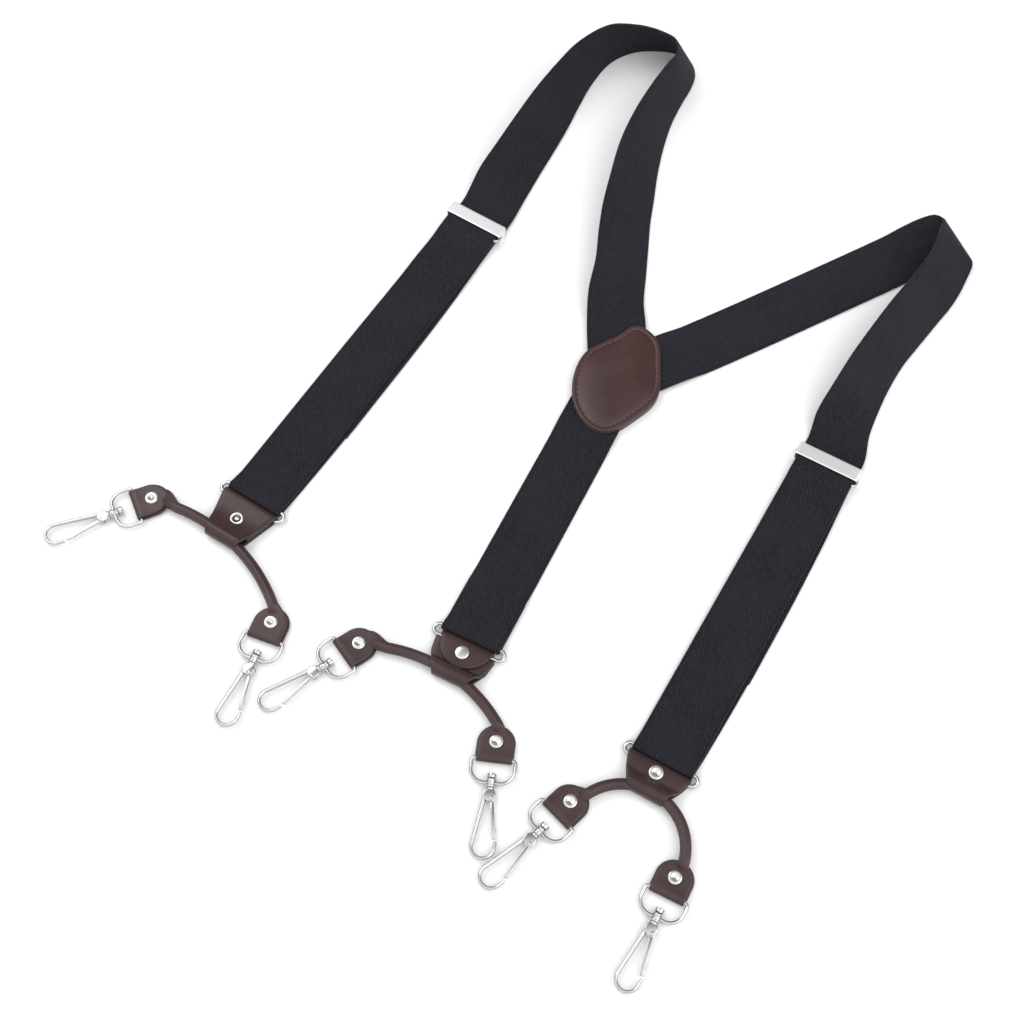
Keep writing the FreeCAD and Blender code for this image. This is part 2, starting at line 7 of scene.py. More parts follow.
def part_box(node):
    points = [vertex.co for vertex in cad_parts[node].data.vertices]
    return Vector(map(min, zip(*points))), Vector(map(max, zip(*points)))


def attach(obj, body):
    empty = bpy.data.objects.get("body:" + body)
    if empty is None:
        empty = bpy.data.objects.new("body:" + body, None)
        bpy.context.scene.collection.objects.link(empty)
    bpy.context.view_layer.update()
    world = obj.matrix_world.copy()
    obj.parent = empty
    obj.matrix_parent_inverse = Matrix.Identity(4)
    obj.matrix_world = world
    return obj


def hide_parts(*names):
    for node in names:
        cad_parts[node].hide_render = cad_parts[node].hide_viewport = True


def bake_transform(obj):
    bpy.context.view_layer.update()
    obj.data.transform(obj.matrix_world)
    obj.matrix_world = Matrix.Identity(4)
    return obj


# Y-back trouser suspenders laid out on a table. Millimetres in the shapes, metres in the meshes.

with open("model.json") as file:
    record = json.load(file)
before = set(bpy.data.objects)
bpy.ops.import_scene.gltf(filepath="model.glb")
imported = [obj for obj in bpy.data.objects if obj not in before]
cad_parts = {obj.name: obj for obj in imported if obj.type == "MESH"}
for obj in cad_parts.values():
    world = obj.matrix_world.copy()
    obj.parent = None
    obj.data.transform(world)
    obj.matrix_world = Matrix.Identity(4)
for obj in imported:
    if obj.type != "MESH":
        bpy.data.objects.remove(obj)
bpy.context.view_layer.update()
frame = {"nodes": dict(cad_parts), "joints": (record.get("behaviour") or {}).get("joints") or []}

MM = 0.001
UP = Vector((0, 0, 1))
ROOT = "yoke_and_straps"

# Where the layout's own origin lies in the frame, under the middle of the whole object.
LAYOUT_SHIFT = Vector((-9.9, -38.6, 0))

# Webbing
WEB_HALF = 17.5
WEB_THICK = 1.3
LOWER_MID = 0.65
UPPER_MID = 2.05
RAISED_MID = 2.85
OVER_MID = 4.25
RETURN_START = 60.0
ADJUSTER_UP = 13.5
ADJUSTER_DOWN = 40.0
ADJUSTER_BAR_Z = 4.5
WRAP_R = 1.92
BAR_WRAP_R = 1.65
PEEK_LEAST = 0.5
PEEK_MOST = 2.3
PEEK_END = 0.925
BACK_STRAP_LENGTH = 162.0
STATION_STEP = 2.5
ADJUSTER_HALF = 18.9
ADJUSTER_HIGH = 7.35
ADJUSTER_LOW = 0.38

# Ring, leather ends and rolled straps
RING_Z = 2.7
RING_SPAN = 6.0
LEATHER = 1.5
LEATHER_HALF = 0.7
FOLD_R = 1.95
FOLD_REACH = 2.6
FLAP_R = 15.0
FLAP_CENTRE = 4.4
CORD_Z = 4.7
CORD_R = 3.0
TUNNEL_MID_R = 3.98
END_RIVET_R = 4.0
TAB_RIVET_X = -9.0
TAB_LOW = 1.0
TAB_HIGH = 4.4
NECK_STEPS = 8
NECK_REACH = 13.0
NECK_END_Z = 2.55
CORD_STITCH_PITCH = 2.7

# Snap hooks, along X from the bar of the D loop
LOOP_WIRE_R = 1.0
LOOP_HALF_WIDTH = 11.5
LOOP_APEX = 13.0
BOSS_START = 10.8
BOSS_END = 15.4
EYE_X = 19.6
NOSE_X = 46.6
NOSE_R = 5.85
GATE_PIVOT = (21.4, 1.5)
GATE_TIP = (42.1, 5.26)

# Yoke patch
YOKE_POINTS = 120
YOKE_STITCHES = 56
SEWING_INSET = 3.05
SEWING_Z = 5.56

# Ends: half widths of the leather as (distance beyond the ring, half width), the rolled strap's
# radius and first and last angle round its centre, and the rivet's place, kind and cap as (height,
# where it stands). The right rivet sits nearest its ring, so a lower cap clears the webbing when
# the leather folds up.
ENDS = {
    "left": {"outline": [(0, 18.0), (27, 10.2), (40, 9.6)], "rivet": 17.0,
             "arc_r": 107.5, "arc": (21.7, 66.5), "rivet_kind": "eyelet", "cap": (1.35, 5.35)},
    "right": {"outline": [(0, 18.0), (6, 15.8), (12, 12.4), (19, 9.6), (28, 9.3)], "rivet": 9.2,
              "arc_r": 31.6, "arc": (-16.0, 122.0), "rivet_kind": "dimple", "cap": (1.0, 5.2)},
    "back": {"outline": [(0, 18.0), (10, 16.4), (22, 9.8), (28, 9.4)], "rivet": 11.2,
             "arc_r": 85.0, "arc": (28.5, 79.0), "rivet_kind": "cap", "cap": (1.35, 5.35)},
}
HOOKS = {
    "left_outer": "left", "left_inner": "left", "back_outer": "back",
    "back_inner": "back", "right_outer": "right", "right_inner": "right",
}

# Pairs of edge points of the shoulder straps, from the yoke round the shoulder to the adjuster.
LEFT_EDGES = [
    ((79.5, 100, 3.0), (44.5, 101, 3.0)),
    ((79.5, 125, 3.0), (44.5, 126, 3.0)),
    ((79, 141, 1.2), (45.5, 144, 10)),
    ((81, 160, 0), (50, 164, 14)),
    ((83, 179, 0), (52, 182, 15)),
    ((85, 199, 0), (55, 202, 17)),
    ((88, 218, 0), (60, 222, 21)),
    ((91, 238, 0), (66, 243, 25)),
    ((95.5, 259, 0), (75, 264, 28)),
    ((101.5, 279, 0), (86.5, 284, 31)),
    ((109, 296, 0), (98, 301, 32.7)),
    ((115.5, 309, 0), (103, 308, 32.7)),
    ((118.5, 320, 0), (104.5, 315, 32.5)),
    ((116, 330.5, 0), (102.5, 321, 32.2)),
    ((108, 337.5, 0), (97, 325, 32.3)),
    ((96, 340, 0), (90, 328, 33)),
    ((80, 338.7, 0), (79, 330, 34.2)),
    ((65, 330, 0), (62.5, 329.5, 34.9)),
    ((53, 313, 0.4), (43.5, 318, 33.4)),
    ((44, 294, 0.6), (29, 302, 31)),
    ((36, 275, 0.8), (15, 285, 26.5)),
    ((27.5, 257, 0.9), (3.5, 268.5, 22.5)),
    ((18.5, 239, 1.0), (-7.5, 251.5, 19)),
    ((9, 219.5, 1.4), (-20, 235.5, 11)),
]
RIGHT_EDGES = [
    ((77.5, 73.9, 1.6), (62.7, 105.6, 1.6)),
    ((103, 85.7, 1.6), (88.2, 117.4, 1.6)),
    ((117, 92.3, 0), (101.8, 123.8, 0)),
    ((157, 112.5, 0), (140.8, 143.5, 0)),
    ((222, 146.5, 0), (205.8, 177.5, 0)),
    ((244, 158.3, 0), (227.8, 189.3, 0)),
    ((256, 164.5, 0.2), (240.5, 196.5, 1)),
    ((266, 168.8, 0.8), (251.5, 201.3, 3)),
    ((273, 171, 2.2), (260, 202, 6.5)),
    ((278.5, 172, 3.2), (264, 198, 9.5)),
    ((280.2, 169, 3.4), (263, 192.5, 15)),
    ((279.5, 165, 3), (260.7, 187, 20.5)),
    ((275.8, 157.5, 1.8), (256.8, 178, 24)),
    ((270.5, 147.5, 1.5), (253, 168, 24.5)),
    ((263, 136.3, 1.2), (244.5, 154, 24.5)),
    ((254.5, 126, 1), (235, 142, 24.5)),
    ((242, 110.5, 1), (222, 126, 24.5)),
    ((230.5, 96, 1), (209.5, 109.2, 24.3)),
    ((220, 79, 1), (196.8, 92, 22)),
    ((211.5, 62, 1.1), (185, 74.5, 18)),
    ((205.5, 48, 1.5), (175.5, 61, 9.5)),
]


# ---------------------------------------------------------------- places taken from the frame

def joint(name):
    return next(j for j in frame["joints"] if j["name"] == name)


def hinge_place(name, height):
    """Matrix in millimetres at a hinge: X points away from the hinge's parent, Z is up."""
    hinge = joint(name)
    x, y, _ = (value / MM for value in hinge["pos_m"])
    out = UP.cross(Vector(hinge["axis"])).normalized()
    aside = UP.cross(out)
    place = Matrix((out, aside, UP)).transposed().to_4x4()
    place.translation = (x, y, height)
    return place


def strap_length(side):
    """From the ring back to the adjuster's bar, or under the yoke for the back strap."""
    if side == "back":
        return BACK_STRAP_LENGTH
    low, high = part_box(side + "_adjuster_bar")
    return (end_places[side].inverted() @ ((low + high) / 2 / MM)).x * -1


def tunnel_reach(side):
    """How far beyond the ring the rolled strap's centre line crosses the leather end."""
    centre = Vector(joint(side + "_cross_strap_slide")["pos_m"]) / MM
    local = end_places[side].inverted() @ centre
    return local.x - math.sqrt(ENDS[side]["arc_r"] ** 2 - local.y ** 2)


end_places = {side: hinge_place(side + "_ring_hinge", 0.0) for side in ENDS}
hook_places = {name: hinge_place(name + "_loop_hinge", RING_Z) for name in HOOKS}


# ---------------------------------------------------------------- modelling helpers

def start_clean():
    if bpy.context.object and bpy.context.object.mode != "OBJECT":
        bpy.ops.object.mode_set(mode="OBJECT")
    bpy.ops.object.select_all(action="DESELECT")


def named(name):
    obj = bpy.context.object
    obj.name = name
    obj.data.name = name
    return obj


def only(obj):
    start_clean()
    obj.select_set(True)
    bpy.context.view_layer.objects.active = obj


def apply_modifier(obj, kind, **settings):
    only(obj)
    modifier = obj.modifiers.new(kind.lower(), kind)
    for key, value in settings.items():
        setattr(modifier, key, value)
    bpy.ops.object.modifier_apply(modifier=modifier.name)


def rounded_shading(obj, degrees=40):
    only(obj)
    bpy.ops.object.shade_smooth_by_angle(angle=math.radians(degrees))


def close_and_orient(obj):
    """Merges what meets, fills the open ends and turns every face outwards."""
    only(obj)
    bpy.ops.object.mode_set(mode="EDIT")
    bpy.ops.mesh.select_all(action="SELECT")
    bpy.ops.mesh.remove_doubles(threshold=0.00002)
    bpy.ops.mesh.fill_holes(sides=0)
    bpy.ops.mesh.select_all(action="SELECT")
    bpy.ops.mesh.normals_make_consistent(inside=False)
    bpy.ops.object.mode_set(mode="OBJECT")


def joined(name, parts):
    start_clean()
    for part in parts:
        part.select_set(True)
    bpy.context.view_layer.objects.active = parts[0]
    if len(parts) > 1:
        bpy.ops.object.join()
    return named(name)


def copied(obj, name, place):
    """A copy with its own mesh, moved by a matrix in millimetres."""
    twin = obj.copy()
    twin.data = obj.data.copy()
    twin.name = name
    twin.data.name = name
    bpy.context.scene.collection.objects.link(twin)
    return moved_to(twin, place)


def moved_to(obj, place):
    """Moves a piece's mesh by a matrix in millimetres."""
    in_metres = place.copy()
    in_metres.translation = place.translation * MM
    obj.data.transform(in_metres)
    return obj


def arc(cx, cz, radius, start, end, steps=10):
    turn = [math.radians(start + (end - start) * i / steps) for i in range(steps + 1)]
    return [(cx + radius * math.cos(a), cz + radius * math.sin(a)) for a in turn]


def between(start, leave, stop, arrive, t):
    """Point at a share t of a smooth curve, from the directions that it leaves and arrives in."""
    return (start * (2 * t**3 - 3 * t**2 + 1) + leave * (t**3 - 2 * t**2 + t)
            + stop * (3 * t**2 - 2 * t**3) + arrive * (t**3 - t**2))


def counted(points, counts):
    """Points on a smooth curve through the given ones, with a set number in each span."""
    result = []
    for i, count in enumerate(counts):
        p0, p1 = points[max(i - 1, 0)], points[i]
        p2, p3 = points[i + 1], points[min(i + 2, len(points) - 1)]
        span = (p2 - p1).length
        leave = (p2 - p0) / ((p1 - p0).length + span) * span if i else p2 - p1
        arrive = (p3 - p1) / ((p3 - p2).length + span) * span if i + 2 < len(points) else p2 - p1
        result += [between(p1, leave, p2, arrive, k / count) for k in range(count)]
    result.append(points[-1])
    return result


def eased(points, step):
    """Points about a step apart on a smooth curve through the given ones."""
    points = [Vector(p) for p in points]
    return counted(points, [max(1, round((b - a).length / step)) for a, b in zip(points, points[1:])])


def flat_section(half_width, half_thick, columns=10):
    """Rounded strip seen from its end, as (across, up) points."""
    corner = half_thick * 0.95
    inner = half_width - corner
    top = [(-inner + 2 * inner * i / columns, half_thick) for i in range(columns + 1)]
    right = [(inner + corner * math.sin(a), half_thick * math.cos(a))
             for a in (math.radians(d) for d in (30, 60, 90, 120, 150))]
    bottom = [(x, -half_thick) for x, _ in reversed(top)]
    left = [(-x, -z) for x, z in right]
    return top + right + bottom + left


def oval_section(half_width, half_thick, count=20):
    turn = [2 * math.pi * i / count for i in range(count)]
    return [(half_width * math.cos(a), half_thick * math.sin(a)) for a in turn]


def skin(name, rings, across, closed=False):
    """Tube through rings of points, with a UV map of (distance across, distance along)."""
    if closed:
        rings = rings + [rings[0]]
        across = across + [across[0]]
    rows, columns = len(rings) - 1, len(rings[0])
    start_clean()
    bpy.ops.mesh.primitive_grid_add(x_subdivisions=columns, y_subdivisions=rows, size=1)
    obj = named(name)
    mesh = obj.data
    middles = [sum(ring, Vector()) / columns for ring in rings]
    along = [0.0]
    for a, b in zip(middles, middles[1:]):
        along.append(along[-1] + (b - a).length)
    cells = []
    for vertex in mesh.vertices:
        i = round((vertex.co.x + 0.5) * columns)
        j = round((vertex.co.y + 0.5) * rows)
        cells.append((i, j))
    edge = mesh.attributes.new("edge", "FLOAT", "POINT")
    for vertex, (i, j) in zip(mesh.vertices, cells):
        vertex.co = rings[j][i % columns] * MM
        widest = max(abs(a) for a in across[j])
        edge.data[vertex.index].value = abs(across[j][i % columns]) / widest
    uv = mesh.uv_layers.active.data
    for loop in mesh.loops:
        i, j = cells[loop.vertex_index]
        uv[loop.index].uv = (across[j][i % columns] * MM, along[j] * MM)
    close_and_orient(obj)
    return obj


def strip(name, stations, half_thick, closed=False):
    """Flat band through stations of (middle, unit vector across, unit normal, half width)."""
    rings = []
    across = []
    for middle, side, normal, half_width in stations:
        section = flat_section(half_width, half_thick)
        rings.append([middle + side * s + normal * t for s, t in section])
        across.append([s for s, _ in section])
    return skin(name, rings, across, closed)


def wire(name, points, radius_of, closed=False, count=16):
    """Round or oval wire along points; radius_of gives (half width, half height) at a share 0 to 1."""
    points = [Vector(p) for p in points]
    rings = []
    across = []
    total = len(points)
    for i, point in enumerate(points):
        before = points[i - 1] if closed else points[max(i - 1, 0)]
        after = points[(i + 1) % total] if closed else points[min(i + 1, total - 1)]
        travel = (after - before).normalized()
        side = UP.cross(travel).normalized()
        normal = travel.cross(side)
        section = oval_section(*radius_of(i / max(1, total - 1)), count)
        rings.append([point + side * s + normal * t for s, t in section])
        across.append([s for s, _ in section])
    return skin(name, rings, across, closed)


def turned(name, steps, count=40):
    """Round part made from a disc by extruding and resizing; steps are (radius, height)."""
    start_clean()
    radius, height = steps[0]
    bpy.ops.mesh.primitive_circle_add(
        vertices=count, radius=radius * MM, fill_type="NGON", location=(0, 0, height * MM))
    bpy.ops.object.transform_apply(location=True)
    obj = named(name)
    bpy.ops.object.mode_set(mode="EDIT")
    bpy.ops.mesh.select_all(action="SELECT")
    for next_radius, next_height in steps[1:]:
        bpy.ops.mesh.extrude_region_move(
            TRANSFORM_OT_translate={"value": (0, 0, (next_height - height) * MM)})
        scale = next_radius / radius
        bpy.ops.transform.resize(
            value=(scale, scale, 1), center_override=(0, 0, next_height * MM))
        radius, height = next_radius, next_height
    bpy.ops.mesh.select_all(action="SELECT")
    bpy.ops.mesh.normals_make_consistent(inside=False)
    bpy.ops.object.mode_set(mode="OBJECT")
    return obj


def block(name, low, high, bevel, segments=3):
    """Bar with rounded edges between two corners."""
    start_clean()
    low, high = Vector(low), Vector(high)
    bpy.ops.mesh.primitive_cube_add(size=1, location=(low + high) / 2 * MM)
    obj = named(name)
    obj.scale = (high - low) * MM
    bpy.ops.object.transform_apply(location=True, scale=True)
    apply_modifier(obj, "BEVEL", width=bevel * MM, segments=segments, limit_method="NONE")
    return obj


# ---------------------------------------------------------------- materials

def new_material(name, **constants):
    """A material and helpers to add nodes to it; constants are set on the shader's own sockets."""
    material = bpy.data.materials.new(name)
    material.use_nodes = True
    tree = material.node_tree
    shader = tree.nodes["Principled BSDF"]
    for key, value in constants.items():
        shader.inputs[key.replace("_", " ")].default_value = value
    return material, tree, shader


def node(tree, kind, inputs=None, **settings):
    made = tree.nodes.new(kind)
    for key, value in settings.items():
        setattr(made, key, value)
    for key, value in (inputs or {}).items():
        if isinstance(value, bpy.types.NodeSocket):
            tree.links.new(value, made.inputs[key])
        else:
            made.inputs[key].default_value = value
    return made


def mixed(tree, factor, first, second, blend="MIX"):
    made = node(tree, "ShaderNodeMix", data_type="RGBA", blend_type=blend)
    sockets = (made.inputs[0], made.inputs[6], made.inputs[7])
    for socket, value in zip(sockets, (factor, first, second)):
        if isinstance(value, bpy.types.NodeSocket):
            tree.links.new(value, socket)
        else:
            socket.default_value = value
    return made.outputs[2]


def math_node(tree, operation, first, second=0.0, third=0.0):
    made = node(tree, "ShaderNodeMath", operation=operation)
    for socket, value in zip(made.inputs, (first, second, third)):
        if isinstance(value, bpy.types.NodeSocket):
            tree.links.new(value, socket)
        else:
            socket.default_value = value
    return made.outputs[0]


def ramped(tree, value, low, high):
    """Value mapped from low..high to 0..1, clamped."""
    made = node(tree, "ShaderNodeMapRange", {"Value": value, "From Min": low, "From Max": high})
    return made.outputs[0]


def bumped(tree, shader, heights):
    """Bump nodes in a chain; heights are (height socket, distance in metres, strength)."""
    normal = None
    for height, distance, strength in heights:
        inputs = {"Height": height, "Distance": distance, "Strength": strength}
        if normal:
            inputs["Normal"] = normal
        normal = node(tree, "ShaderNodeBump", inputs).outputs[0]
    tree.links.new(normal, shader.inputs["Normal"])


def webbing_material():
    """Twill elastic: fine ribs at an angle to the strap, in short staggered floats."""
    material, tree, shader = new_material(
        "webbing", Roughness=0.8, Sheen_Weight=0.06, Sheen_Roughness=0.5, Specular_IOR_Level=0.14)
    shader.inputs["Sheen Tint"].default_value = (0.55, 0.57, 0.75, 1)
    uv = node(tree, "ShaderNodeUVMap").outputs[0]
    turned_uv = node(tree, "ShaderNodeMapping", {"Vector": uv, "Rotation": (0, 0, math.radians(58))})
    floats = node(
        tree, "ShaderNodeTexBrick",
        {"Vector": turned_uv.outputs[0], "Color1": (0.0, 0.0, 0.0, 1), "Color2": (1, 1, 1, 1),
         "Mortar": (0.5, 0.5, 0.5, 1), "Scale": 1.0, "Mortar Size": 0.00034, "Mortar Smooth": 1.0,
         "Bias": 0.0, "Brick Width": 0.0024, "Row Height": 0.0011}, offset=0.5)
    split = node(tree, "ShaderNodeSeparateXYZ", {"Vector": uv})
    off_middle = math_node(tree, "ABSOLUTE", split.outputs[0])
    selvedge = ramped(tree, off_middle, 0.0157, 0.0161)
    cords = node(tree, "ShaderNodeTexWave", {"Vector": uv, "Scale": 430.0, "Distortion": 0.6},
                 wave_type="BANDS", bands_direction="X")
    fuzz = node(tree, "ShaderNodeTexNoise", {"Vector": uv, "Scale": 2600.0, "Detail": 2.0})
    patches = node(tree, "ShaderNodeTexNoise", {"Vector": uv, "Scale": 22.0, "Detail": 3.0})
    gap = math_node(tree, "SUBTRACT", 1.0, floats.outputs["Fac"])
    weave = node(tree, "ShaderNodeMix", {0: selvedge, 2: gap, 3: cords.outputs["Fac"]},
                 data_type="FLOAT").outputs[0]
    yarn = mixed(tree, floats.outputs["Color"], (0.018, 0.018, 0.024, 1), (0.030, 0.030, 0.039, 1))
    # Painted shade: the grooves between the ribs, and between the cords at the selvedge, are coloured
    # near black.
    shaded = mixed(tree, weave, (0.003, 0.003, 0.005, 1), yarn)
    worn = mixed(tree, ramped(tree, patches.outputs["Fac"], 0.42, 0.8), shaded, (0.022, 0.022, 0.029, 1))
    # Painted highlight: the strap's rounded rims are mixed towards a lighter blue-grey.
    painted_edge_highlight = math_node(tree, "MULTIPLY", ramped(tree, off_middle, 0.0167, 0.0175), 0.35)
    tree.links.new(mixed(tree, painted_edge_highlight, worn, (0.05, 0.05, 0.062, 1)), shader.inputs["Base Color"])
    bumped(tree, shader, [(weave, 0.00045, 0.9), (fuzz.outputs["Fac"], 0.0001, 0.35)])
    return material


def leather_material(name, dark, light, raw, gloss):
    """Smooth finished leather with fine pores and creases, and grey raw edges."""
    material, tree, shader = new_material(
        name, Coat_Weight=0.14, Coat_Roughness=0.22, Specular_IOR_Level=0.36)
    place = node(tree, "ShaderNodeTexCoord").outputs["Object"]
    clouds = node(tree, "ShaderNodeTexNoise", {"Vector": place, "Scale": 60.0, "Detail": 4.0})
    pores = node(tree, "ShaderNodeTexVoronoi", {"Vector": place, "Scale": 1500.0, "Randomness": 1.0},
                 feature="DISTANCE_TO_EDGE")
    grain = node(tree, "ShaderNodeTexNoise", {"Vector": place, "Scale": 900.0, "Detail": 5.0})
    creases = node(tree, "ShaderNodeTexNoise",
                   {"Vector": place, "Scale": 180.0, "Detail": 6.0, "Distortion": 1.2})
    colour = mixed(tree, ramped(tree, clouds.outputs["Fac"], 0.3, 0.7), dark, light)
    colour = mixed(tree, math_node(tree, "MULTIPLY", ramped(tree, grain.outputs["Fac"], 0.5, 0.8), 0.35),
                   colour, light)
    edge = node(tree, "ShaderNodeAttribute", attribute_name="edge").outputs["Fac"]
    at_edge = ramped(tree, edge, 0.955, 0.985)
    colour = mixed(tree, at_edge, colour, raw)
    tree.links.new(colour, shader.inputs["Base Color"])
    rough = math_node(tree, "MULTIPLY_ADD", clouds.outputs["Fac"], 0.16, gloss)
    rough = math_node(tree, "MULTIPLY_ADD", at_edge, 0.3, rough)
    tree.links.new(rough, shader.inputs["Roughness"])
    pore_walls = ramped(tree, pores.outputs["Distance"], 0.0, 0.12)
    bumped(tree, shader, [
        (pore_walls, 0.00006, 0.35), (grain.outputs["Fac"], 0.0001, 0.3),
        (creases.outputs["Fac"], 0.0003, 0.3),
    ])
    return material


def nickel_material(name, colour, roughness):
    """Plated metal with faint uneven polish."""
    material, tree, shader = new_material(name, Metallic=1.0)
    place = node(tree, "ShaderNodeTexCoord").outputs["Object"]
    polish = node(tree, "ShaderNodeTexNoise", {"Vector": place, "Scale": 240.0, "Detail": 4.0})
    specks = node(tree, "ShaderNodeTexNoise", {"Vector": place, "Scale": 2200.0, "Detail": 3.0})
    shade = mixed(tree, ramped(tree, polish.outputs["Fac"], 0.35, 0.7), colour,
                  tuple(c * 0.93 for c in colour[:3]) + (1,))
    tree.links.new(shade, shader.inputs["Base Color"])
    rough = math_node(tree, "MULTIPLY_ADD", polish.outputs["Fac"], 0.08, roughness)
    tree.links.new(rough, shader.inputs["Roughness"])
    bumped(tree, shader, [(polish.outputs["Fac"], 0.0001, 0.12), (specks.outputs["Fac"], 0.00003, 0.15)])
    return material


def brushed_material():
    """Nickel plate brushed along its length, with a painted highlight on its long edges; the piece's UV
    runs along the plate.
    """
    material, tree, shader = new_material("brushed_plate", Metallic=1.0)
    uv = node(tree, "ShaderNodeUVMap").outputs[0]
    stretched = node(tree, "ShaderNodeMapping", {"Vector": uv, "Scale": (6000, 160, 1)}).outputs[0]
    lines = node(tree, "ShaderNodeTexNoise", {"Vector": stretched, "Scale": 1.0, "Detail": 4.0})
    shade = mixed(tree, ramped(tree, lines.outputs["Fac"], 0.35, 0.7),
                  (0.92, 0.91, 0.90, 1), (0.80, 0.80, 0.79, 1))
    # Painted highlight: the plate's long rounded edges are mixed towards near white.
    edge = node(tree, "ShaderNodeAttribute", attribute_name="edge").outputs["Fac"]
    shade = mixed(tree, ramped(tree, edge, 0.86, 0.92), shade, (0.93, 0.93, 0.92, 1))
    tree.links.new(shade, shader.inputs["Base Color"])
    rough = math_node(tree, "MULTIPLY_ADD", lines.outputs["Fac"], 0.2, 0.32)
    tree.links.new(rough, shader.inputs["Roughness"])
    bumped(tree, shader, [(lines.outputs["Fac"], 0.00006, 0.4)])
    return material


def thread_material(name, colour):
    """Twisted sewing thread, seen as fine slanting strands."""
    material, tree, shader = new_material(name, Roughness=0.6, Sheen_Weight=0.3)
    place = node(tree, "ShaderNodeTexCoord").outputs["Object"]
    strands = node(tree, "ShaderNodeTexWave", {"Vector": place, "Scale": 900.0, "Distortion": 1.5},
                   wave_type="BANDS", bands_direction="DIAGONAL")
    dark = tuple(c * 0.45 for c in colour[:3]) + (1,)
    tree.links.new(mixed(tree, strands.outputs["Fac"], dark, colour), shader.inputs["Base Color"])
    bumped(tree, shader, [(strands.outputs["Fac"], 0.00008, 0.6)])
    return material


WEBBING = webbing_material()
END_LEATHER = leather_material(
    "end_leather", (0.026, 0.010, 0.009, 1), (0.042, 0.018, 0.016, 1), (0.050, 0.040, 0.045, 1), 0.24)
YOKE_LEATHER = leather_material(
    "yoke_leather", (0.034, 0.013, 0.012, 1), (0.052, 0.022, 0.020, 1), (0.070, 0.058, 0.066, 1), 0.30)
STRAP_LEATHER = leather_material(
    "strap_leather", (0.036, 0.016, 0.016, 1), (0.056, 0.030, 0.031, 1), (0.060, 0.048, 0.054, 1), 0.30)
NICKEL = nickel_material("nickel", (0.56, 0.555, 0.54, 1), 0.09)
RIVET_METAL = nickel_material("rivet_metal", (0.66, 0.65, 0.64, 1), 0.16)
RING_WIRE = nickel_material("ring_wire", (0.56, 0.56, 0.55, 1), 0.13)
BRUSHED = brushed_material()
BLACK_THREAD = thread_material("black_thread", (0.016, 0.016, 0.020, 1))
BROWN_THREAD = thread_material("brown_thread", (0.17, 0.050, 0.042, 1))
DARK_THREAD = thread_material("dark_thread", (0.035, 0.020, 0.020, 1))


def finished(obj, material, slot, *stands_for):
    """Gives a piece its material and hides the CAD nodes that it stands for."""
    obj.data.materials.clear()
    obj.data.materials.append(material)
    if stands_for:
        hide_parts(*stands_for)
    return obj


# ---------------------------------------------------------------- stitches

def stitch_pattern(length, thick):
    """One stitch along X: a short thread arched at the middle and dipping into the cloth."""
    start_clean()
    bpy.ops.mesh.primitive_cube_add(size=1)
    obj = named("stitch")
    obj.scale = (length * MM, thick * MM, thick * MM)
    bpy.ops.object.transform_apply(scale=True)
    apply_modifier(obj, "SUBSURF", levels=2, render_levels=2)
    for vertex in obj.data.vertices:
        share = vertex.co.x / (length * MM / 2)
        vertex.co.z -= share * share * thick * 0.35 * MM
    rounded_shading(obj, 80)
    return obj


def stitched(name, pattern, places):
    """A row of stitches, one at each matrix."""
    return joined(name, [copied(pattern, name + "_part", place) for place in places])


def along_place(point, travel, normal=UP):
    travel = travel.normalized()
    side = normal.cross(travel).normalized()
    place = Matrix((travel, side, travel.cross(side))).transposed().to_4x4()
    place.translation = point
    return place


# ---------------------------------------------------------------- webbing

def peek(u, length):
    """How far the lower layer lies out to the side of the upper one, at u beyond the ring."""
    share = -u / length
    if not 0 < share < PEEK_END:
        return PEEK_LEAST
    return PEEK_LEAST + PEEK_MOST * math.sin(math.pi * share / PEEK_END) ** 0.8


def profile_stations(side, profile, half_width_of, aside_of=None):
    """Stations of a band that follows a profile of (u, z) points in an end's own directions."""
    place = end_places[side]
    across = (place.to_3x3() @ Vector((0, 1, 0))).normalized()
    stations = []
    for i, (u, z) in enumerate(profile):
        u0, z0 = profile[max(i - 1, 0)]
        u1, z1 = profile[min(i + 1, len(profile) - 1)]
        travel = (place.to_3x3() @ Vector((u1 - u0, 0, z1 - z0))).normalized()
        aside = aside_of(i, u) if aside_of else 0.0
        middle = place @ Vector((u, aside, z))
        stations.append((middle, across, travel.cross(across), half_width_of(i, u)))
    return stations


def smooth_profile(points, step=3.0):
    return [(p.x, p.y) for p in eased([(u, z, 0) for u, z in points], step)]


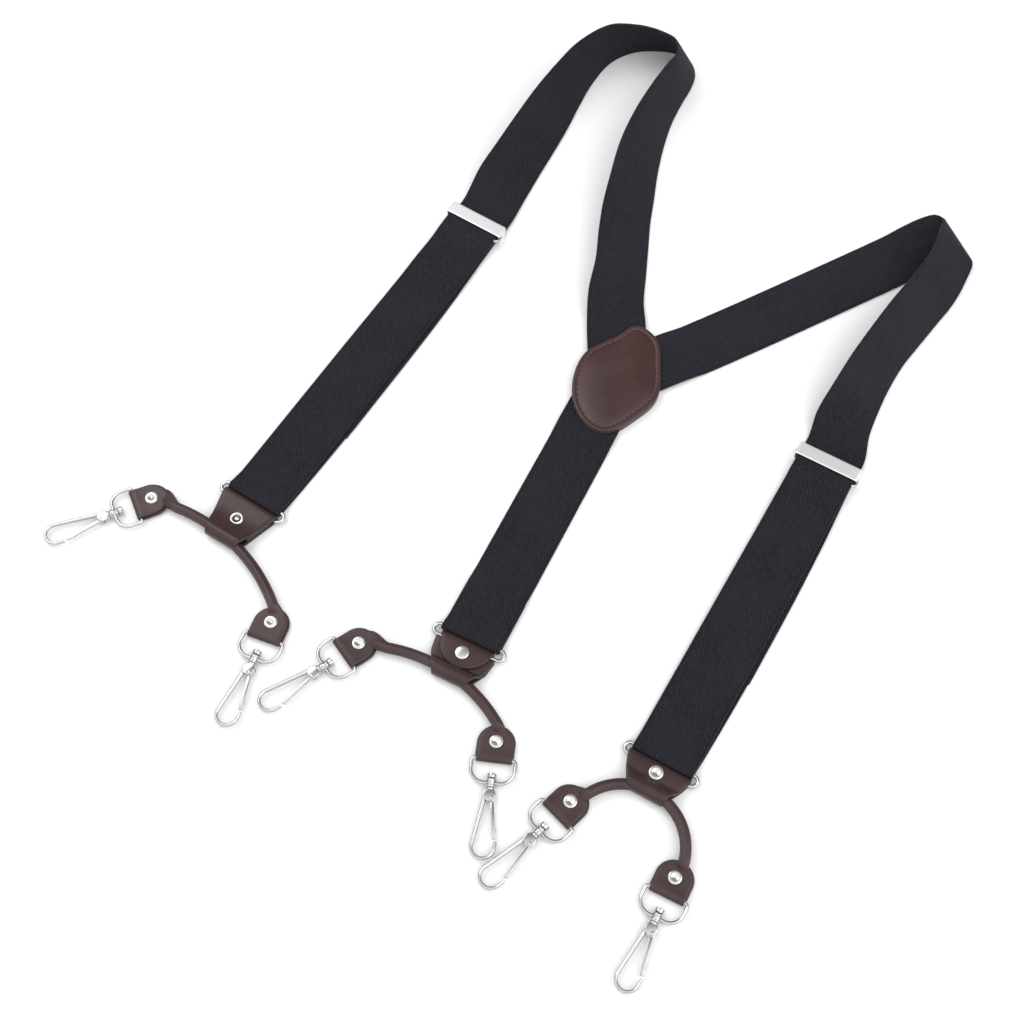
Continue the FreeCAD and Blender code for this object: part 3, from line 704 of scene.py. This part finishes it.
def shoulder_strap(side, edges):
    length = strap_length(side)
    place = end_places[side]
    pairs = [(Vector(a) + LAYOUT_SHIFT, Vector(b) + LAYOUT_SHIFT) for a, b in edges]
    run = [
        (-length - ADJUSTER_UP, 2.1), (-length + 4, 2.1), (-length + ADJUSTER_DOWN, 2.1),
        (-length + ADJUSTER_DOWN + 12, WEB_THICK), (-length + ADJUSTER_DOWN + 45, WEB_THICK),
        (-RETURN_START - 10, WEB_THICK), (-RETURN_START, WEB_THICK),
    ]
    for u, z in run:
        aside = peek(u, length) if u > -length + 6 else 0.0
        edges_here = [place @ Vector((u, v, z)) for v in (WEB_HALF + aside, aside - WEB_HALF)]
        pairs.append(tuple(edges_here))
    middles = [(a + b) / 2 for a, b in pairs]
    counts = [max(1, round((a - b).length / STATION_STEP)) for a, b in zip(middles, middles[1:])]
    first = counted([a for a, _ in pairs], counts)
    second = counted([b for _, b in pairs], counts)
    mids = [(a + b) / 2 for a, b in zip(first, second)]
    stations = []
    for i, (a, b) in enumerate(zip(first, second)):
        travel = (mids[min(i + 1, len(mids) - 1)] - mids[max(i - 1, 0)]).normalized()
        across = (b - a).normalized()
        normal = travel.cross(across).normalized()
        centre = mids[i] + normal * (WEB_THICK / 2)
        half = (b - a).length / 2
        lowest = centre.z - abs(across.z) * half - abs(normal.z) * WEB_THICK / 2
        centre.z += max(0.0, 0.02 - lowest)
        stations.append((centre, across, normal, half))
    obj = strip(side + "_shoulder_webbing", stations, WEB_THICK / 2)
    rounded_shading(obj, 60)
    finished(obj, WEBBING, "webbing", side + "_shoulder_strap")
    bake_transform(obj)


def return_strap(side):
    length = strap_length(side)
    lower = [(-RETURN_START, LOWER_MID), (-45, LOWER_MID), (-25, LOWER_MID), (-8, LOWER_MID)]
    upper = [
        (-10, UPPER_MID), (-30, UPPER_MID), (-60, UPPER_MID + 0.2), (-length / 2, UPPER_MID + 0.35),
        (-length + ADJUSTER_DOWN + 14, UPPER_MID + 0.1), (-length + ADJUSTER_DOWN, RAISED_MID),
        (-length + 22, RAISED_MID), (-length + 14, OVER_MID), (-length + 6, OVER_MID + 0.6),
    ]
    profile = smooth_profile(lower, 5)
    turn = arc(0, RING_Z, WRAP_R, -90, 90)
    profile += turn + smooth_profile(upper, 4)
    profile += arc(-length, ADJUSTER_BAR_Z, BAR_WRAP_R, 90, 270) + [(-length + 12.5, RAISED_MID)]
    lower_count = len(smooth_profile(lower, 5))

    def aside(i, u):
        return peek(u, length) - PEEK_LEAST if i < lower_count else 0.0

    stations = profile_stations(side, profile, lambda i, u: WEB_HALF, aside)
    obj = strip(side + "_return_webbing", stations, WEB_THICK / 2)
    rounded_shading(obj, 60)
    finished(obj, WEBBING, "webbing", side + "_return_strap")
    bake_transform(obj)


def adjuster_stitches(side, pattern):
    length = strap_length(side)
    place = end_places[side]
    travel = place.to_3x3() @ Vector((0, 1, 0))
    count, pitch = 14, 2.4
    first = -(count - 1) * pitch / 2
    height = OVER_MID + 0.36 + WEB_THICK / 2
    rows = []
    for i in range(count):
        point = place @ Vector((-length + 11.5, first + pitch * i, height))
        rows.append(along_place(point, travel))
    obj = stitched(side + "_adjuster_stitches", pattern, rows)
    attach(finished(obj, BLACK_THREAD, "webbing"), side + "_adjuster")


def back_strap():
    length = strap_length("back")
    under_patch = LEATHER + 0.1 + WEB_THICK / 2
    upper = [
        (-length, under_patch), (-length + 17, under_patch), (-length + 30, LOWER_MID),
        (-length + 60, LOWER_MID), (-60, LOWER_MID), (-38, LOWER_MID), (-31, UPPER_MID), (-8, UPPER_MID),
    ]
    profile = smooth_profile(upper, 4) + arc(0, RING_Z, WRAP_R, 90, -90)
    profile += [(-5, LOWER_MID), (-18, LOWER_MID), (-30, LOWER_MID)]
    stations = profile_stations("back", profile, lambda i, u: WEB_HALF)
    obj = strip("back_webbing", stations, WEB_THICK / 2)
    for loop_uv in obj.data.uv_layers.active.data:
        loop_uv.uv.x = -loop_uv.uv.x
    rounded_shading(obj, 60)
    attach(finished(obj, WEBBING, "webbing", "back_strap"), ROOT)


# ---------------------------------------------------------------- adjusters

def adjuster(side):
    """Brushed plate with its end lugs folded down to the back plate, and the bent wire bar."""
    length = strap_length(side)
    place = end_places[side] @ Matrix.Translation((-length, 0, 0))
    reach, corner, flat = ADJUSTER_HALF, 1.2, 12
    top_turn = ADJUSTER_HIGH - corner
    low_turn = ADJUSTER_LOW + corner
    loop = arc(-reach + corner, top_turn, corner, 180, 90, 6)
    loop += [(v, ADJUSTER_HIGH) for v in (-flat, 0, flat)]
    loop += arc(reach - corner, top_turn, corner, 90, 0, 6) + [(reach, 4), (reach, 2)]
    loop += arc(reach - corner, low_turn, corner, 0, -90, 6)
    loop += [(v, ADJUSTER_LOW) for v in (flat, 0, -flat)]
    loop += arc(-reach + corner, low_turn, corner, 270, 180, 6) + [(-reach, 2), (-reach, 4)]
    stations = []
    total = len(loop)
    for i, (v, z) in enumerate(loop):
        v0, z0 = loop[i - 1]
        v1, z1 = loop[(i + 1) % total]
        travel = Vector((0, v1 - v0, z1 - z0)).normalized()
        top = min(1.0, max(0.0, (z - 5.0) / 2.0))
        half = 3.1 + 1.05 * top
        middle = Vector((-0.5 - 0.45 * top, v, z))
        across = Vector((1, 0, 0))
        stations.append((middle, across, travel.cross(across), half))
    obj = strip(side + "_adjuster_brushed_plate", stations, 0.33, closed=True)
    rounded_shading(obj, 50)
    moved_to(obj, place)
    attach(finished(obj, BRUSHED, "brushed_metal", side + "_adjuster_plate"), side + "_adjuster")
    bar_points = [(0, -reach - 0.9, 4.5), (0, -10, 4.5), (0, 10, 4.5), (0, 17.9, 4.5), (0.9, 18.9, 4.6),
                  (2.8, 19.5, 5.0), (4.8, 19.3, 5.4), (5.9, 18.3, 5.7), (6.1, 17.4, 5.8)]
    bar = wire(side + "_adjuster_wire_bar", eased(bar_points, 1.2), lambda t: (0.8, 0.8), count=12)
    rounded_shading(bar, 50)
    moved_to(bar, place)
    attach(finished(bar, NICKEL, "brushed_metal", side + "_adjuster_bar"), side + "_adjuster")


# ---------------------------------------------------------------- leather ends

def half_width_at(outline, u):
    outline = [(RING_SPAN + x, half) for x, half in outline]
    if u <= outline[0][0]:
        return outline[0][1]
    for (u0, w0), (u1, w1) in zip(outline, outline[1:]):
        if u <= u1:
            t = (u - u0) / (u1 - u0)
            return w0 + (w1 - w0) * t
    return outline[-1][1]


def leather_end(side):
    reach = tunnel_reach(side)
    outline = ENDS[side]["outline"]
    stretch = FOLD_REACH / FOLD_R
    fold = [(RING_SPAN + (u - RING_SPAN) * stretch, z)
            for u, z in arc(RING_SPAN, RING_Z, FOLD_R, -90, -270, 10)]
    tunnel = arc(reach, CORD_Z, TUNNEL_MID_R, 112 if side == "left" else 140, -90, 22)
    under = smooth_profile([(reach - 4, 0.74), (RING_SPAN + 2, 0.75)], 2.0)
    if side == "back":
        flap = [(FLAP_CENTRE + FLAP_R * math.sin(math.radians(a)), 4.72) for a in range(88, 0, -8)]
        inner = smooth_profile([(reach - 5.2, 3.6), (reach - 7.5, 3.15), (RING_SPAN + 1.6, 3.12)], 2.0)
        profile = flap + fold[::-1] + under[::-1] + tunnel[::-1] + inner
        flap_count = len(flap)

        def half_width(i, u):
            if i < flap_count:
                return max(0.5, FLAP_R * math.sqrt(max(0.0, 1 - ((u - FLAP_CENTRE) / FLAP_R) ** 2)))
            if i < flap_count + len(fold):
                return FLAP_R + 0.6
            return half_width_at(outline, u)

        stations = profile_stations(side, profile, half_width)
        obj = strip(side + "_leather", stations, LEATHER_HALF)
    else:
        if side == "left":
            top = [(RING_SPAN + 4, 4.72), (reach - 13, 5.05), (reach - 7.5, 6.1), (reach - 4.0, 7.55)]
        else:
            top = [(RING_SPAN + 4, 4.65), ((reach + RING_SPAN) / 2, 4.45), (reach - 7.0, 4.35),
                   (reach - 5.2, 4.9)]
        profile = fold + smooth_profile(top, 2.0) + tunnel + under
        stations = profile_stations(side, profile, lambda i, u: half_width_at(outline, u))
        obj = strip(side + "_leather", stations, LEATHER_HALF, closed=True)
    rounded_shading(obj, 50)
    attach(finished(obj, END_LEATHER, "end_leather", side + "_leather_end"), side + "_leather")
    if side != "back":
        core = [(RING_SPAN + 3.2, 2.7), ((reach + RING_SPAN) / 2, 2.6), (reach - 4.6, 2.6)]
        stations = profile_stations(
            side, smooth_profile(core, 3), lambda i, u: half_width_at(outline, u) - 0.5)
        ply = strip(side + "_leather_core", stations, 1.1)
        rounded_shading(ply, 50)
        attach(finished(ply, END_LEATHER, "end_leather"), side + "_leather")


def rivet_shape(name, kind, radius, height):
    """Rivet cap standing on Z = 0, with its rim, dish or hole."""
    r, h = radius, height
    skirt = [(r * 0.9, -0.25), (r, 0.0), (r, h * 0.35), (r * 0.97, h * 0.62), (r * 0.9, h * 0.84)]
    if kind == "cap":
        rest = [(r * 0.8, h * 0.93), (r * 0.6, h * 0.99), (r * 0.35, h * 1.04), (r * 0.1, h * 1.06)]
    elif kind == "eyelet":
        rest = [(r * 0.8, h), (r * 0.7, h * 0.98), (r * 0.62, h * 0.8), (r * 0.56, h * 0.3),
                (r * 0.50, h * 0.12), (r * 0.38, h * 0.1), (r * 0.34, h * 0.4), (r * 0.22, h * 0.62),
                (r * 0.06, h * 0.68)]
    else:
        rest = [(r * 0.8, h * 0.96), (r * 0.62, h), (r * 0.52, h * 0.93), (r * 0.46, h * 0.8),
                (r * 0.30, h * 0.78), (r * 0.22, h * 0.6), (r * 0.05, h * 0.5)]
    obj = turned(name, skirt + rest)
    rounded_shading(obj, 45)
    return obj


def end_rivet(side):
    cap_height, foot = ENDS[side]["cap"]
    obj = rivet_shape(side + "_end_rivet_cap", ENDS[side]["rivet_kind"], END_RIVET_R, cap_height)
    moved_to(obj, end_places[side] @ Matrix.Translation((ENDS[side]["rivet"], 0, foot)))
    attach(finished(obj, RIVET_METAL, "rivet_metal", side + "_end_rivet"), side + "_leather")


# ---------------------------------------------------------------- rolled cross straps and tabs

def rolled_section(share_round, half_width, half_thick, count=28):
    """Section of the rolled leather: round with two seam lines, or flat towards a tab."""
    section = []
    for i in range(count):
        a = 2 * math.pi * i / count
        round_r = 1.0
        for seam in (62, 152):
            off = (math.degrees(a) - seam + 180) % 360 - 180
            round_r -= 0.13 * math.exp(-(off / 9.0) ** 2)
            round_r += 0.035 * math.exp(-((abs(off) - 22) / 10.0) ** 2)
        scale = 1 + (round_r - 1) * share_round
        section.append((half_width * math.cos(a) * scale, half_thick * math.sin(a) * scale))
    return section


def cord_point(side, angle, radius=None, height=CORD_Z):
    centre = Vector(joint(side + "_cross_strap_slide")["pos_m"]) / MM
    a = math.radians(angle)
    radius = ENDS[side]["arc_r"] if radius is None else radius
    return Vector((centre.x + radius * math.cos(a), centre.y + radius * math.sin(a), height))


def neck_points(side, outer):
    """Route from the end of the rolled strap down into its tab."""
    angle = ENDS[side]["arc"][1 if outer else 0]
    start = cord_point(side, angle)
    a = math.radians(angle)
    out = Vector((-math.sin(a), math.cos(a), 0)) * (1 if outer else -1)
    place = hook_places[side + ("_outer" if outer else "_inner")]
    stop = place @ Vector((-NECK_REACH, 0, 0))
    stop.z = NECK_END_Z
    into = (place.to_3x3() @ Vector((1, 0, 0))).normalized()
    pull = (stop - start).length * 0.9
    shares = [(i + 1) / NECK_STEPS for i in range(NECK_STEPS)]
    return [between(start, out * pull, stop, into * pull, t) for t in shares]


def cross_strap(side, stitch):
    first, last = ENDS[side]["arc"]
    steps = max(12, round((last - first) * ENDS[side]["arc_r"] * math.pi / 180 / 2.2))
    middle = [cord_point(side, first + (last - first) * i / steps) for i in range(steps + 1)]
    route = neck_points(side, False)[::-1] + middle + neck_points(side, True)
    rings = []
    across = []
    for i, point in enumerate(route):
        travel = (route[min(i + 1, len(route) - 1)] - route[max(i - 1, 0)]).normalized()
        aside = travel.cross(UP).normalized()
        normal = aside.cross(travel)
        into_neck = max(0, NECK_STEPS - i, i - (len(route) - 1 - NECK_STEPS)) / NECK_STEPS
        flat = into_neck * into_neck * (3 - 2 * into_neck)
        section = rolled_section(1 - flat, CORD_R + 2.6 * flat, CORD_R - 2.1 * flat)
        rings.append([point + aside * s + normal * t for s, t in section])
        across.append([s * 0.9 for s, _ in section])
    obj = skin(side + "_rolled_strap", rings, across)
    for value in obj.data.attributes["edge"].data:
        value.value = 0.0
    rounded_shading(obj, 60)
    parts = [obj]
    for name, owner in HOOKS.items():
        if owner == side:
            parts.append(tab(name))
    strap = joined(side + "_rolled_strap", parts)
    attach(finished(strap, STRAP_LEATHER, "strap_leather", side + "_cross_strap"), side + "_cross")
    count = int((last - first) * math.pi / 180 * ENDS[side]["arc_r"] / CORD_STITCH_PITCH)
    rows = []
    for i in range(1, count):
        angle = first + (last - first) * i / count
        inner = ENDS[side]["arc_r"] - 2.35
        point = cord_point(side, angle, inner, CORD_Z + 1.42)
        a = math.radians(angle)
        rows.append(along_place(point, Vector((-math.sin(a), math.cos(a), 0)),
                                Vector((-0.8 * math.cos(a), -0.8 * math.sin(a), 0.6))))
    seam = stitched(side + "_rolled_strap_stitches", stitch, rows)
    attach(finished(seam, DARK_THREAD, "strap_leather"), side + "_cross")


def tab(name):
    """Leather folded round the D loop's bar: a wide lower layer and a rounded flap on top."""
    place = hook_places[name]
    across = (place.to_3x3() @ Vector((0, 1, 0))).normalized()
    lower_r, upper_r = 10.2, 9.2
    thick = 0.65
    lower_mid = 1.68 - RING_Z
    upper_mid = 3.72 - RING_Z
    lower_turn = -8.6
    upper_turn = -8.2
    lower = [(lower_turn - lower_r * math.sin(math.radians(a)), lower_mid) for a in range(86, -1, -8)]
    lower += [(-5.0, lower_mid), (-2.0, lower_mid)]
    fold = arc(-0.3, 0, 1.72, -80, 80, 8)
    upper = [(-2.0, upper_mid + 0.45), (-5.0, upper_mid)]
    upper += [(upper_turn - upper_r * math.sin(math.radians(a)), upper_mid) for a in range(0, 87, 8)]
    profile = lower + fold + upper
    stations = []
    for i, (x, z) in enumerate(profile):
        x0, z0 = profile[max(i - 1, 0)]
        x1, z1 = profile[min(i + 1, len(profile) - 1)]
        travel = (place.to_3x3() @ Vector((x1 - x0, 0, z1 - z0))).normalized()
        on_top = i >= len(lower) + 4
        radius, turn = (upper_r, upper_turn) if on_top else (lower_r, lower_turn)
        inside = max(0.0, turn - x) / radius
        half = max(0.7, radius * math.sqrt(max(0.0, 1 - inside * inside)))
        if len(lower) <= i < len(lower) + len(fold):
            half = upper_r + 0.25
        stations.append((place @ Vector((x, 0, z)), across, travel.cross(across), half))
    obj = strip(name + "_tab", stations, thick)
    rounded_shading(obj, 50)
    return obj


def tab_rivets(side, pattern):
    parts = []
    for name, owner in HOOKS.items():
        if owner == side:
            place = hook_places[name] @ Matrix.Translation((TAB_RIVET_X, 0, TAB_HIGH - RING_Z))
            parts.append(copied(pattern, name + "_tab_rivet", place))
            below = hook_places[name] @ Matrix.Translation((TAB_RIVET_X, 0, TAB_LOW - RING_Z))
            foot = copied(pattern, name + "_tab_rivet_foot", below @ Matrix.Rotation(math.pi, 4, "X"))
            parts.append(foot)
    obj = joined(side + "_tab_rivet_caps", parts)
    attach(finished(obj, RIVET_METAL, "rivet_metal", side + "_tab_rivets"), side + "_cross")


# ---------------------------------------------------------------- snap hooks

def loop_points():
    """Centre line of the D loop: straight bar, two small corners and a wide round bow."""
    half, small, wide = LOOP_HALF_WIDTH, 1.6, 7.5
    points = [(0, y, 0) for y in (-half + small, -5, 0, 5, half - small)]
    points += [(x, y, 0) for x, y in arc(small, half - small, small, 180, 90, 6)[1:]]
    points += [(x, y, 0) for x, y in arc(LOOP_APEX - wide, half - wide, wide, 90, 0, 12)]
    points += [(LOOP_APEX, 2, 0), (LOOP_APEX, -2, 0)]
    points += [(x, y, 0) for x, y in arc(LOOP_APEX - wide, -half + wide, wide, 0, -90, 12)]
    points += [(x, y, 0) for x, y in arc(small, -half + small, small, 270, 180, 6)[:-1]]
    return points


def along_x(obj):
    """Turns a part made round Z so that it lies along X."""
    obj.data.transform(Matrix.Rotation(math.pi / 2, 4, "Y"))
    return obj


def hook_loop_pattern():
    bow = wire("loop_bow", loop_points(), lambda t: (LOOP_WIRE_R, LOOP_WIRE_R), closed=True)
    boss = along_x(turned("loop_boss", [
        (1.9, BOSS_START - 0.1), (2.2, BOSS_START), (2.55, BOSS_START + 0.35), (2.55, BOSS_START + 0.9),
        (2.3, BOSS_START + 1.15), (2.3, BOSS_END - 1.2), (2.6, BOSS_END - 0.95), (2.6, BOSS_END - 0.3),
        (2.3, BOSS_END), (1.7, BOSS_END),
    ]))
    obj = joined("loop_pattern", [bow, boss])
    rounded_shading(obj, 45)
    return obj


def hook_body_points():
    """Centre line of the hook's bar, from the eye along the back and round the nose to the gate."""
    lean = math.asin((NOSE_R - 2.2) / (NOSE_X - EYE_X))
    lean_deg = math.degrees(lean)
    near = (EYE_X - 2.2 * math.sin(lean) + 0.6, -2.2 * math.cos(lean))
    far = (NOSE_X - NOSE_R * math.sin(lean), -NOSE_R * math.cos(lean))
    points = [(near[0] + (far[0] - near[0]) * t, near[1] + (far[1] - near[1]) * t, 0)
              for t in (0, 0.25, 0.5, 0.75)]
    points += [(x, y, 0) for x, y in arc(NOSE_X, 0, NOSE_R, -90 - lean_deg, 90 + lean_deg, 26)]
    points += [(44.2, 6.1, 0), (43.3, 5.9, 0)]
    return points


def hook_body_pattern():
    """Swivel stud, collar, forked eye and the bent bar of the hook."""
    def bar(t):
        return (0.98 + 0.22 * max(0.0, 1 - 4 * t) - 0.12 * max(0.0, 8 * t - 7), 1.25)

    hook_bar = wire("hook_bar", hook_body_points(), bar)
    stud = along_x(turned("hook_stud", [
        (1.4, 7.9), (2.1, 8.0), (2.5, 8.3), (2.6, 9.2), (2.4, 10.3), (1.5, 10.6), (1.5, 15.5),
        (2.1, 15.6), (2.5, 15.9), (2.55, 16.5), (2.2, 17.0), (1.9, 17.6), (1.9, 18.6),
    ]))
    cheek_steps = [(2.9, 0.0), (3.3, 0.08), (3.4, 0.3), (3.4, 0.9), (3.2, 1.12), (2.8, 1.2)]
    cheeks = []
    for low in (-2.2, 1.0):
        cheek = turned("hook_cheek", cheek_steps)
        cheek.data.transform(Matrix.Translation((EYE_X * MM, 0, low * MM)))
        cheeks.append(cheek)
    web = block("hook_web", (EYE_X - 3.2, -2.6, -1.2), (EYE_X + 0.2, 2.2, 1.2), 0.4)
    obj = joined("hook_body_pattern", [hook_bar, stud, web] + cheeks)
    rounded_shading(obj, 45)
    return obj


def hook_gate_pattern():
    """Flat-sided bar from the eye to the nose, with a rounded hub and a notched tip."""
    a, b = Vector((*GATE_PIVOT, 0)), Vector((*GATE_TIP, 0))
    length = (b - a).length
    bar = block("gate_bar", (-0.6, -0.95, -0.88), (length, 0.95, 0.88), 0.35)
    thumb = block("gate_thumb", (length - 5.2, 0.5, -0.7), (length - 3.6, 1.3, 0.7), 0.3)
    hub = turned("gate_hub", [
        (1.35, -0.95), (1.6, -0.85), (1.65, -0.5), (1.65, 0.5), (1.6, 0.85), (1.35, 0.95),
    ])
    obj = joined("gate_pattern", [bar, thumb, hub])
    place = along_place(a, b - a)
    moved_to(obj, place)
    rounded_shading(obj, 40)
    return obj


def gate_pin_pattern():
    """Pin through the eye with a domed head on each side."""
    head = [(1.0, 2.15), (1.05, 2.3), (0.9, 2.5), (0.55, 2.62), (0.15, 2.66)]
    steps = [(r, -z) for r, z in reversed(head)] + [(0.6, -2.1), (0.6, 2.1)] + head
    obj = turned("pin_pattern", steps, count=24)
    moved_to(obj, Matrix.Translation((GATE_PIVOT[0], GATE_PIVOT[1], 0)))
    rounded_shading(obj, 45)
    return obj


def gate_spring_pattern():
    """Closing spring: two and a half turns of fine wire round the pin."""
    turns, radius, rise, steps = 2.5, 1.12, 0.75, 40
    points = []
    for i in range(steps + 1):
        a = 2 * math.pi * turns * i / steps
        points.append((GATE_PIVOT[0] + radius * math.cos(a), GATE_PIVOT[1] + radius * math.sin(a),
                       0.12 + rise * i / steps))
    obj = wire("spring_pattern", points, lambda t: (0.16, 0.16), count=6)
    rounded_shading(obj, 80)
    return obj


def snap_hooks():
    patterns = {
        "loop": hook_loop_pattern(), "body": hook_body_pattern(), "gate": hook_gate_pattern(),
        "pin": gate_pin_pattern(), "spring": gate_spring_pattern(),
    }
    rides = {"loop": "_loop", "body": "_hook", "gate": "_gate", "pin": "_hook", "spring": "_hook"}
    for name, place in hook_places.items():
        for part, pattern in patterns.items():
            obj = copied(pattern, f"{name}_snap_{part}", place)
            finished(obj, NICKEL, "nickel", f"{name}_hook_{part}")
            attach(obj, name + rides[part])
    for pattern in patterns.values():
        bpy.data.objects.remove(pattern)


# ---------------------------------------------------------------- yoke patch

def yoke_outline(count):
    """Evenly spaced points round the CAD patch's edge, and its middle, in millimetres."""
    fine_steps, least_turn = 720, 0.004
    mesh = frame["nodes"]["yoke_patch_back"].data
    low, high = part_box("yoke_patch_back")
    middle = (low + high) / 2 / MM
    rim = []
    for vertex in mesh.vertices:
        if vertex.co.z < 0.0001:
            off = vertex.co / MM - middle
            rim.append((math.atan2(off.y, off.x), math.hypot(off.x, off.y)))
    rim.sort()
    dense = []
    for angle, radius in rim:
        if not dense or angle - dense[-1][0] > least_turn:
            dense.append((angle, radius))
    before = (dense[-1][0] - 2 * math.pi, dense[-1][1])
    after = (dense[0][0] + 2 * math.pi, dense[0][1])
    dense = [before] + dense + [after]
    fine = []
    for i in range(fine_steps):
        a = -math.pi + 2 * math.pi * i / fine_steps
        k = max(j for j in range(len(dense)) if dense[j][0] <= a)
        (a0, r0), (a1, r1) = dense[k], dense[min(k + 1, len(dense) - 1)]
        r = r0 + (r1 - r0) * (a - a0) / max(a1 - a0, 1e-6)
        fine.append(Vector((middle.x + r * math.cos(a), middle.y + r * math.sin(a), 0)))
    lengths = [0.0]
    for a, b in zip(fine, fine[1:] + fine[:1]):
        lengths.append(lengths[-1] + (b - a).length)
    points = []
    k = 0
    for i in range(count):
        want = lengths[-1] * i / count
        while lengths[k + 1] < want:
            k += 1
        t = (want - lengths[k]) / max(lengths[k + 1] - lengths[k], 1e-6)
        points.append(fine[k].lerp(fine[(k + 1) % fine_steps], t))
    return points, Vector((middle.x, middle.y, 0))


def inset_ring(outline, inset, height):
    """The outline moved inwards by a distance, at a height."""
    ring = []
    total = len(outline)
    for i, point in enumerate(outline):
        travel = outline[(i + 2) % total] - outline[i - 2]
        inward = UP.cross(travel).normalized()
        moved = point + inward * inset
        ring.append(Vector((moved.x, moved.y, height)))
    return ring


def yoke_patch(stitch):
    outline, middle = yoke_outline(YOKE_POINTS)
    front_steps = [
        (7.0, 1.62), (1.0, 1.62), (0.35, 1.75), (0.02, 2.3), (0.0, 4.6), (0.2, 5.2), (0.7, 5.5),
        (1.4, 5.6), (2.2, 5.56), (2.75, 5.3), (3.3, 5.28), (3.9, 5.55), (4.8, 5.85), (6.5, 6.2),
    ]
    dome_steps = [
        (0.88, 6.56), (0.75, 6.85), (0.6, 7.1), (0.45, 7.27), (0.3, 7.37), (0.15, 7.4), (0.04, 7.4),
    ]
    rings = [inset_ring(outline, inset, height) for inset, height in front_steps]
    crown = rings[-1]
    for share, height in dome_steps:
        rings.append([Vector((middle.x + (p.x - middle.x) * share,
                              middle.y + (p.y - middle.y) * share, height)) for p in crown])
    obj = skin("yoke_front_leather", rings, [[1.0] * len(outline)] * len(rings))
    mark_edges(obj, 2.2, 4.9)
    rounded_shading(obj, 60)
    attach(finished(obj, YOKE_LEATHER, "end_leather", "yoke_patch_front"), ROOT)

    back_steps = [
        (9.0, 0.0), (1.2, 0.0), (0.5, 0.12), (0.1, 0.5), (0.1, 1.1), (0.5, 1.42), (1.2, 1.5), (9.0, 1.5),
    ]
    rings = [inset_ring(outline, inset, height) for inset, height in back_steps]
    back = skin("yoke_back_leather", rings, [[1.0] * len(outline)] * len(rings))
    mark_edges(back, 0.3, 1.2)
    rounded_shading(back, 60)
    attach(finished(back, YOKE_LEATHER, "end_leather", "yoke_patch_back"), ROOT)

    places = []
    line, _ = yoke_outline(YOKE_STITCHES)
    total = len(line)
    ring = inset_ring(line, SEWING_INSET, SEWING_Z)
    for i in range(total):
        places.append(along_place(ring[i], ring[(i + 1) % total] - ring[i - 1]))
    sewing = stitched("yoke_sewing", stitch, places)
    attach(finished(sewing, BROWN_THREAD, "thread", "yoke_stitching"), ROOT)


def mark_edges(obj, low, high):
    """Marks the side wall of a leather layer, between two heights, as its raw edge."""
    edge = obj.data.attributes["edge"].data
    for vertex in obj.data.vertices:
        height = vertex.co.z / MM
        side_wall = abs(vertex.normal.z) < 0.6 and low <= height <= high
        edge[vertex.index].value = 1.0 if side_wall else 0.0


# ---------------------------------------------------------------- table, light and camera

def table_and_light():
    start_clean()
    bpy.ops.mesh.primitive_plane_add(size=60, location=(0, 0, -0.0002))
    table = named("table_top")
    material, _, shader = new_material("table_white", Roughness=0.6)
    shader.inputs["Base Color"].default_value = (0.93, 0.93, 0.93, 1)
    table.data.materials.append(material)
    world = bpy.data.worlds.new("studio")
    world.use_nodes = True
    sky = world.node_tree
    generated = node(sky, "ShaderNodeTexCoord").outputs["Generated"]
    direction = node(sky, "ShaderNodeSeparateXYZ", {0: generated})
    height = ramped(sky, direction.outputs["Z"], 0.05, 0.45)
    shade = mixed(sky, height, (0.12, 0.12, 0.13, 1), (1, 1, 1, 1))
    behind = ramped(sky, direction.outputs["Y"], 0.1, 0.4)
    shade = mixed(sky, behind, shade, (0.3, 0.3, 0.31, 1))
    haze = ramped(sky, direction.outputs["Z"], 0.1, 0.05)
    shade = mixed(sky, haze, shade, (0.8, 0.8, 0.8, 1))
    sky.links.new(shade, sky.nodes["Background"].inputs["Color"])
    sky.nodes["Background"].inputs["Strength"].default_value = 1.32
    bpy.context.scene.world = world
    for name, where, size, power in (
        ("key_light", (-0.7, 0.7, 1.3), 0.9, 8.0),
        ("fill_light", (0.9, -0.5, 1.2), 1.1, 5.0),
    ):
        light = bpy.data.lights.new(name, "AREA")
        light.size = size
        light.energy = power
        lamp = bpy.data.objects.new(name, light)
        lamp.location = where
        lamp.rotation_euler = (-Vector(where)).to_track_quat("-Z", "Y").to_euler()
        bpy.context.scene.collection.objects.link(lamp)


def camera():
    data = bpy.data.cameras.new("camera")
    data.lens = 56.25
    data.sensor_width = 36.0
    data.clip_start = 0.01
    obj = bpy.data.objects.new("camera", data)
    obj.location = (-0.0099, -0.4467, 0.801)
    obj.rotation_euler = (math.radians(27), 0, 0)
    bpy.context.scene.collection.objects.link(obj)
    bpy.context.scene.camera = obj


# ---------------------------------------------------------------- the whole object

camera()
table_and_light()
bpy.context.scene.view_settings.view_transform = "Standard"

for ring_side in ENDS:
    frame["nodes"][ring_side + "_ring"].data.materials.clear()
    frame["nodes"][ring_side + "_ring"].data.materials.append(RING_WIRE)

long_stitch = stitch_pattern(2.45, 0.95)
short_stitch = stitch_pattern(1.7, 0.5)
shoulder_strap("left", LEFT_EDGES)
shoulder_strap("right", RIGHT_EDGES)
back_strap()
for strap_side in ("left", "right"):
    return_strap(strap_side)
    adjuster(strap_side)
    adjuster_stitches(strap_side, short_stitch)
small_rivet = rivet_shape("small_rivet", "dimple", 3.8, 1.15)
for end_side in ENDS:
    leather_end(end_side)
    end_rivet(end_side)
    cross_strap(end_side, short_stitch)
    tab_rivets(end_side, small_rivet)
snap_hooks()
yoke_patch(long_stitch)
for pattern_piece in (long_stitch, short_stitch, small_rivet):
    bpy.data.objects.remove(pattern_piece)
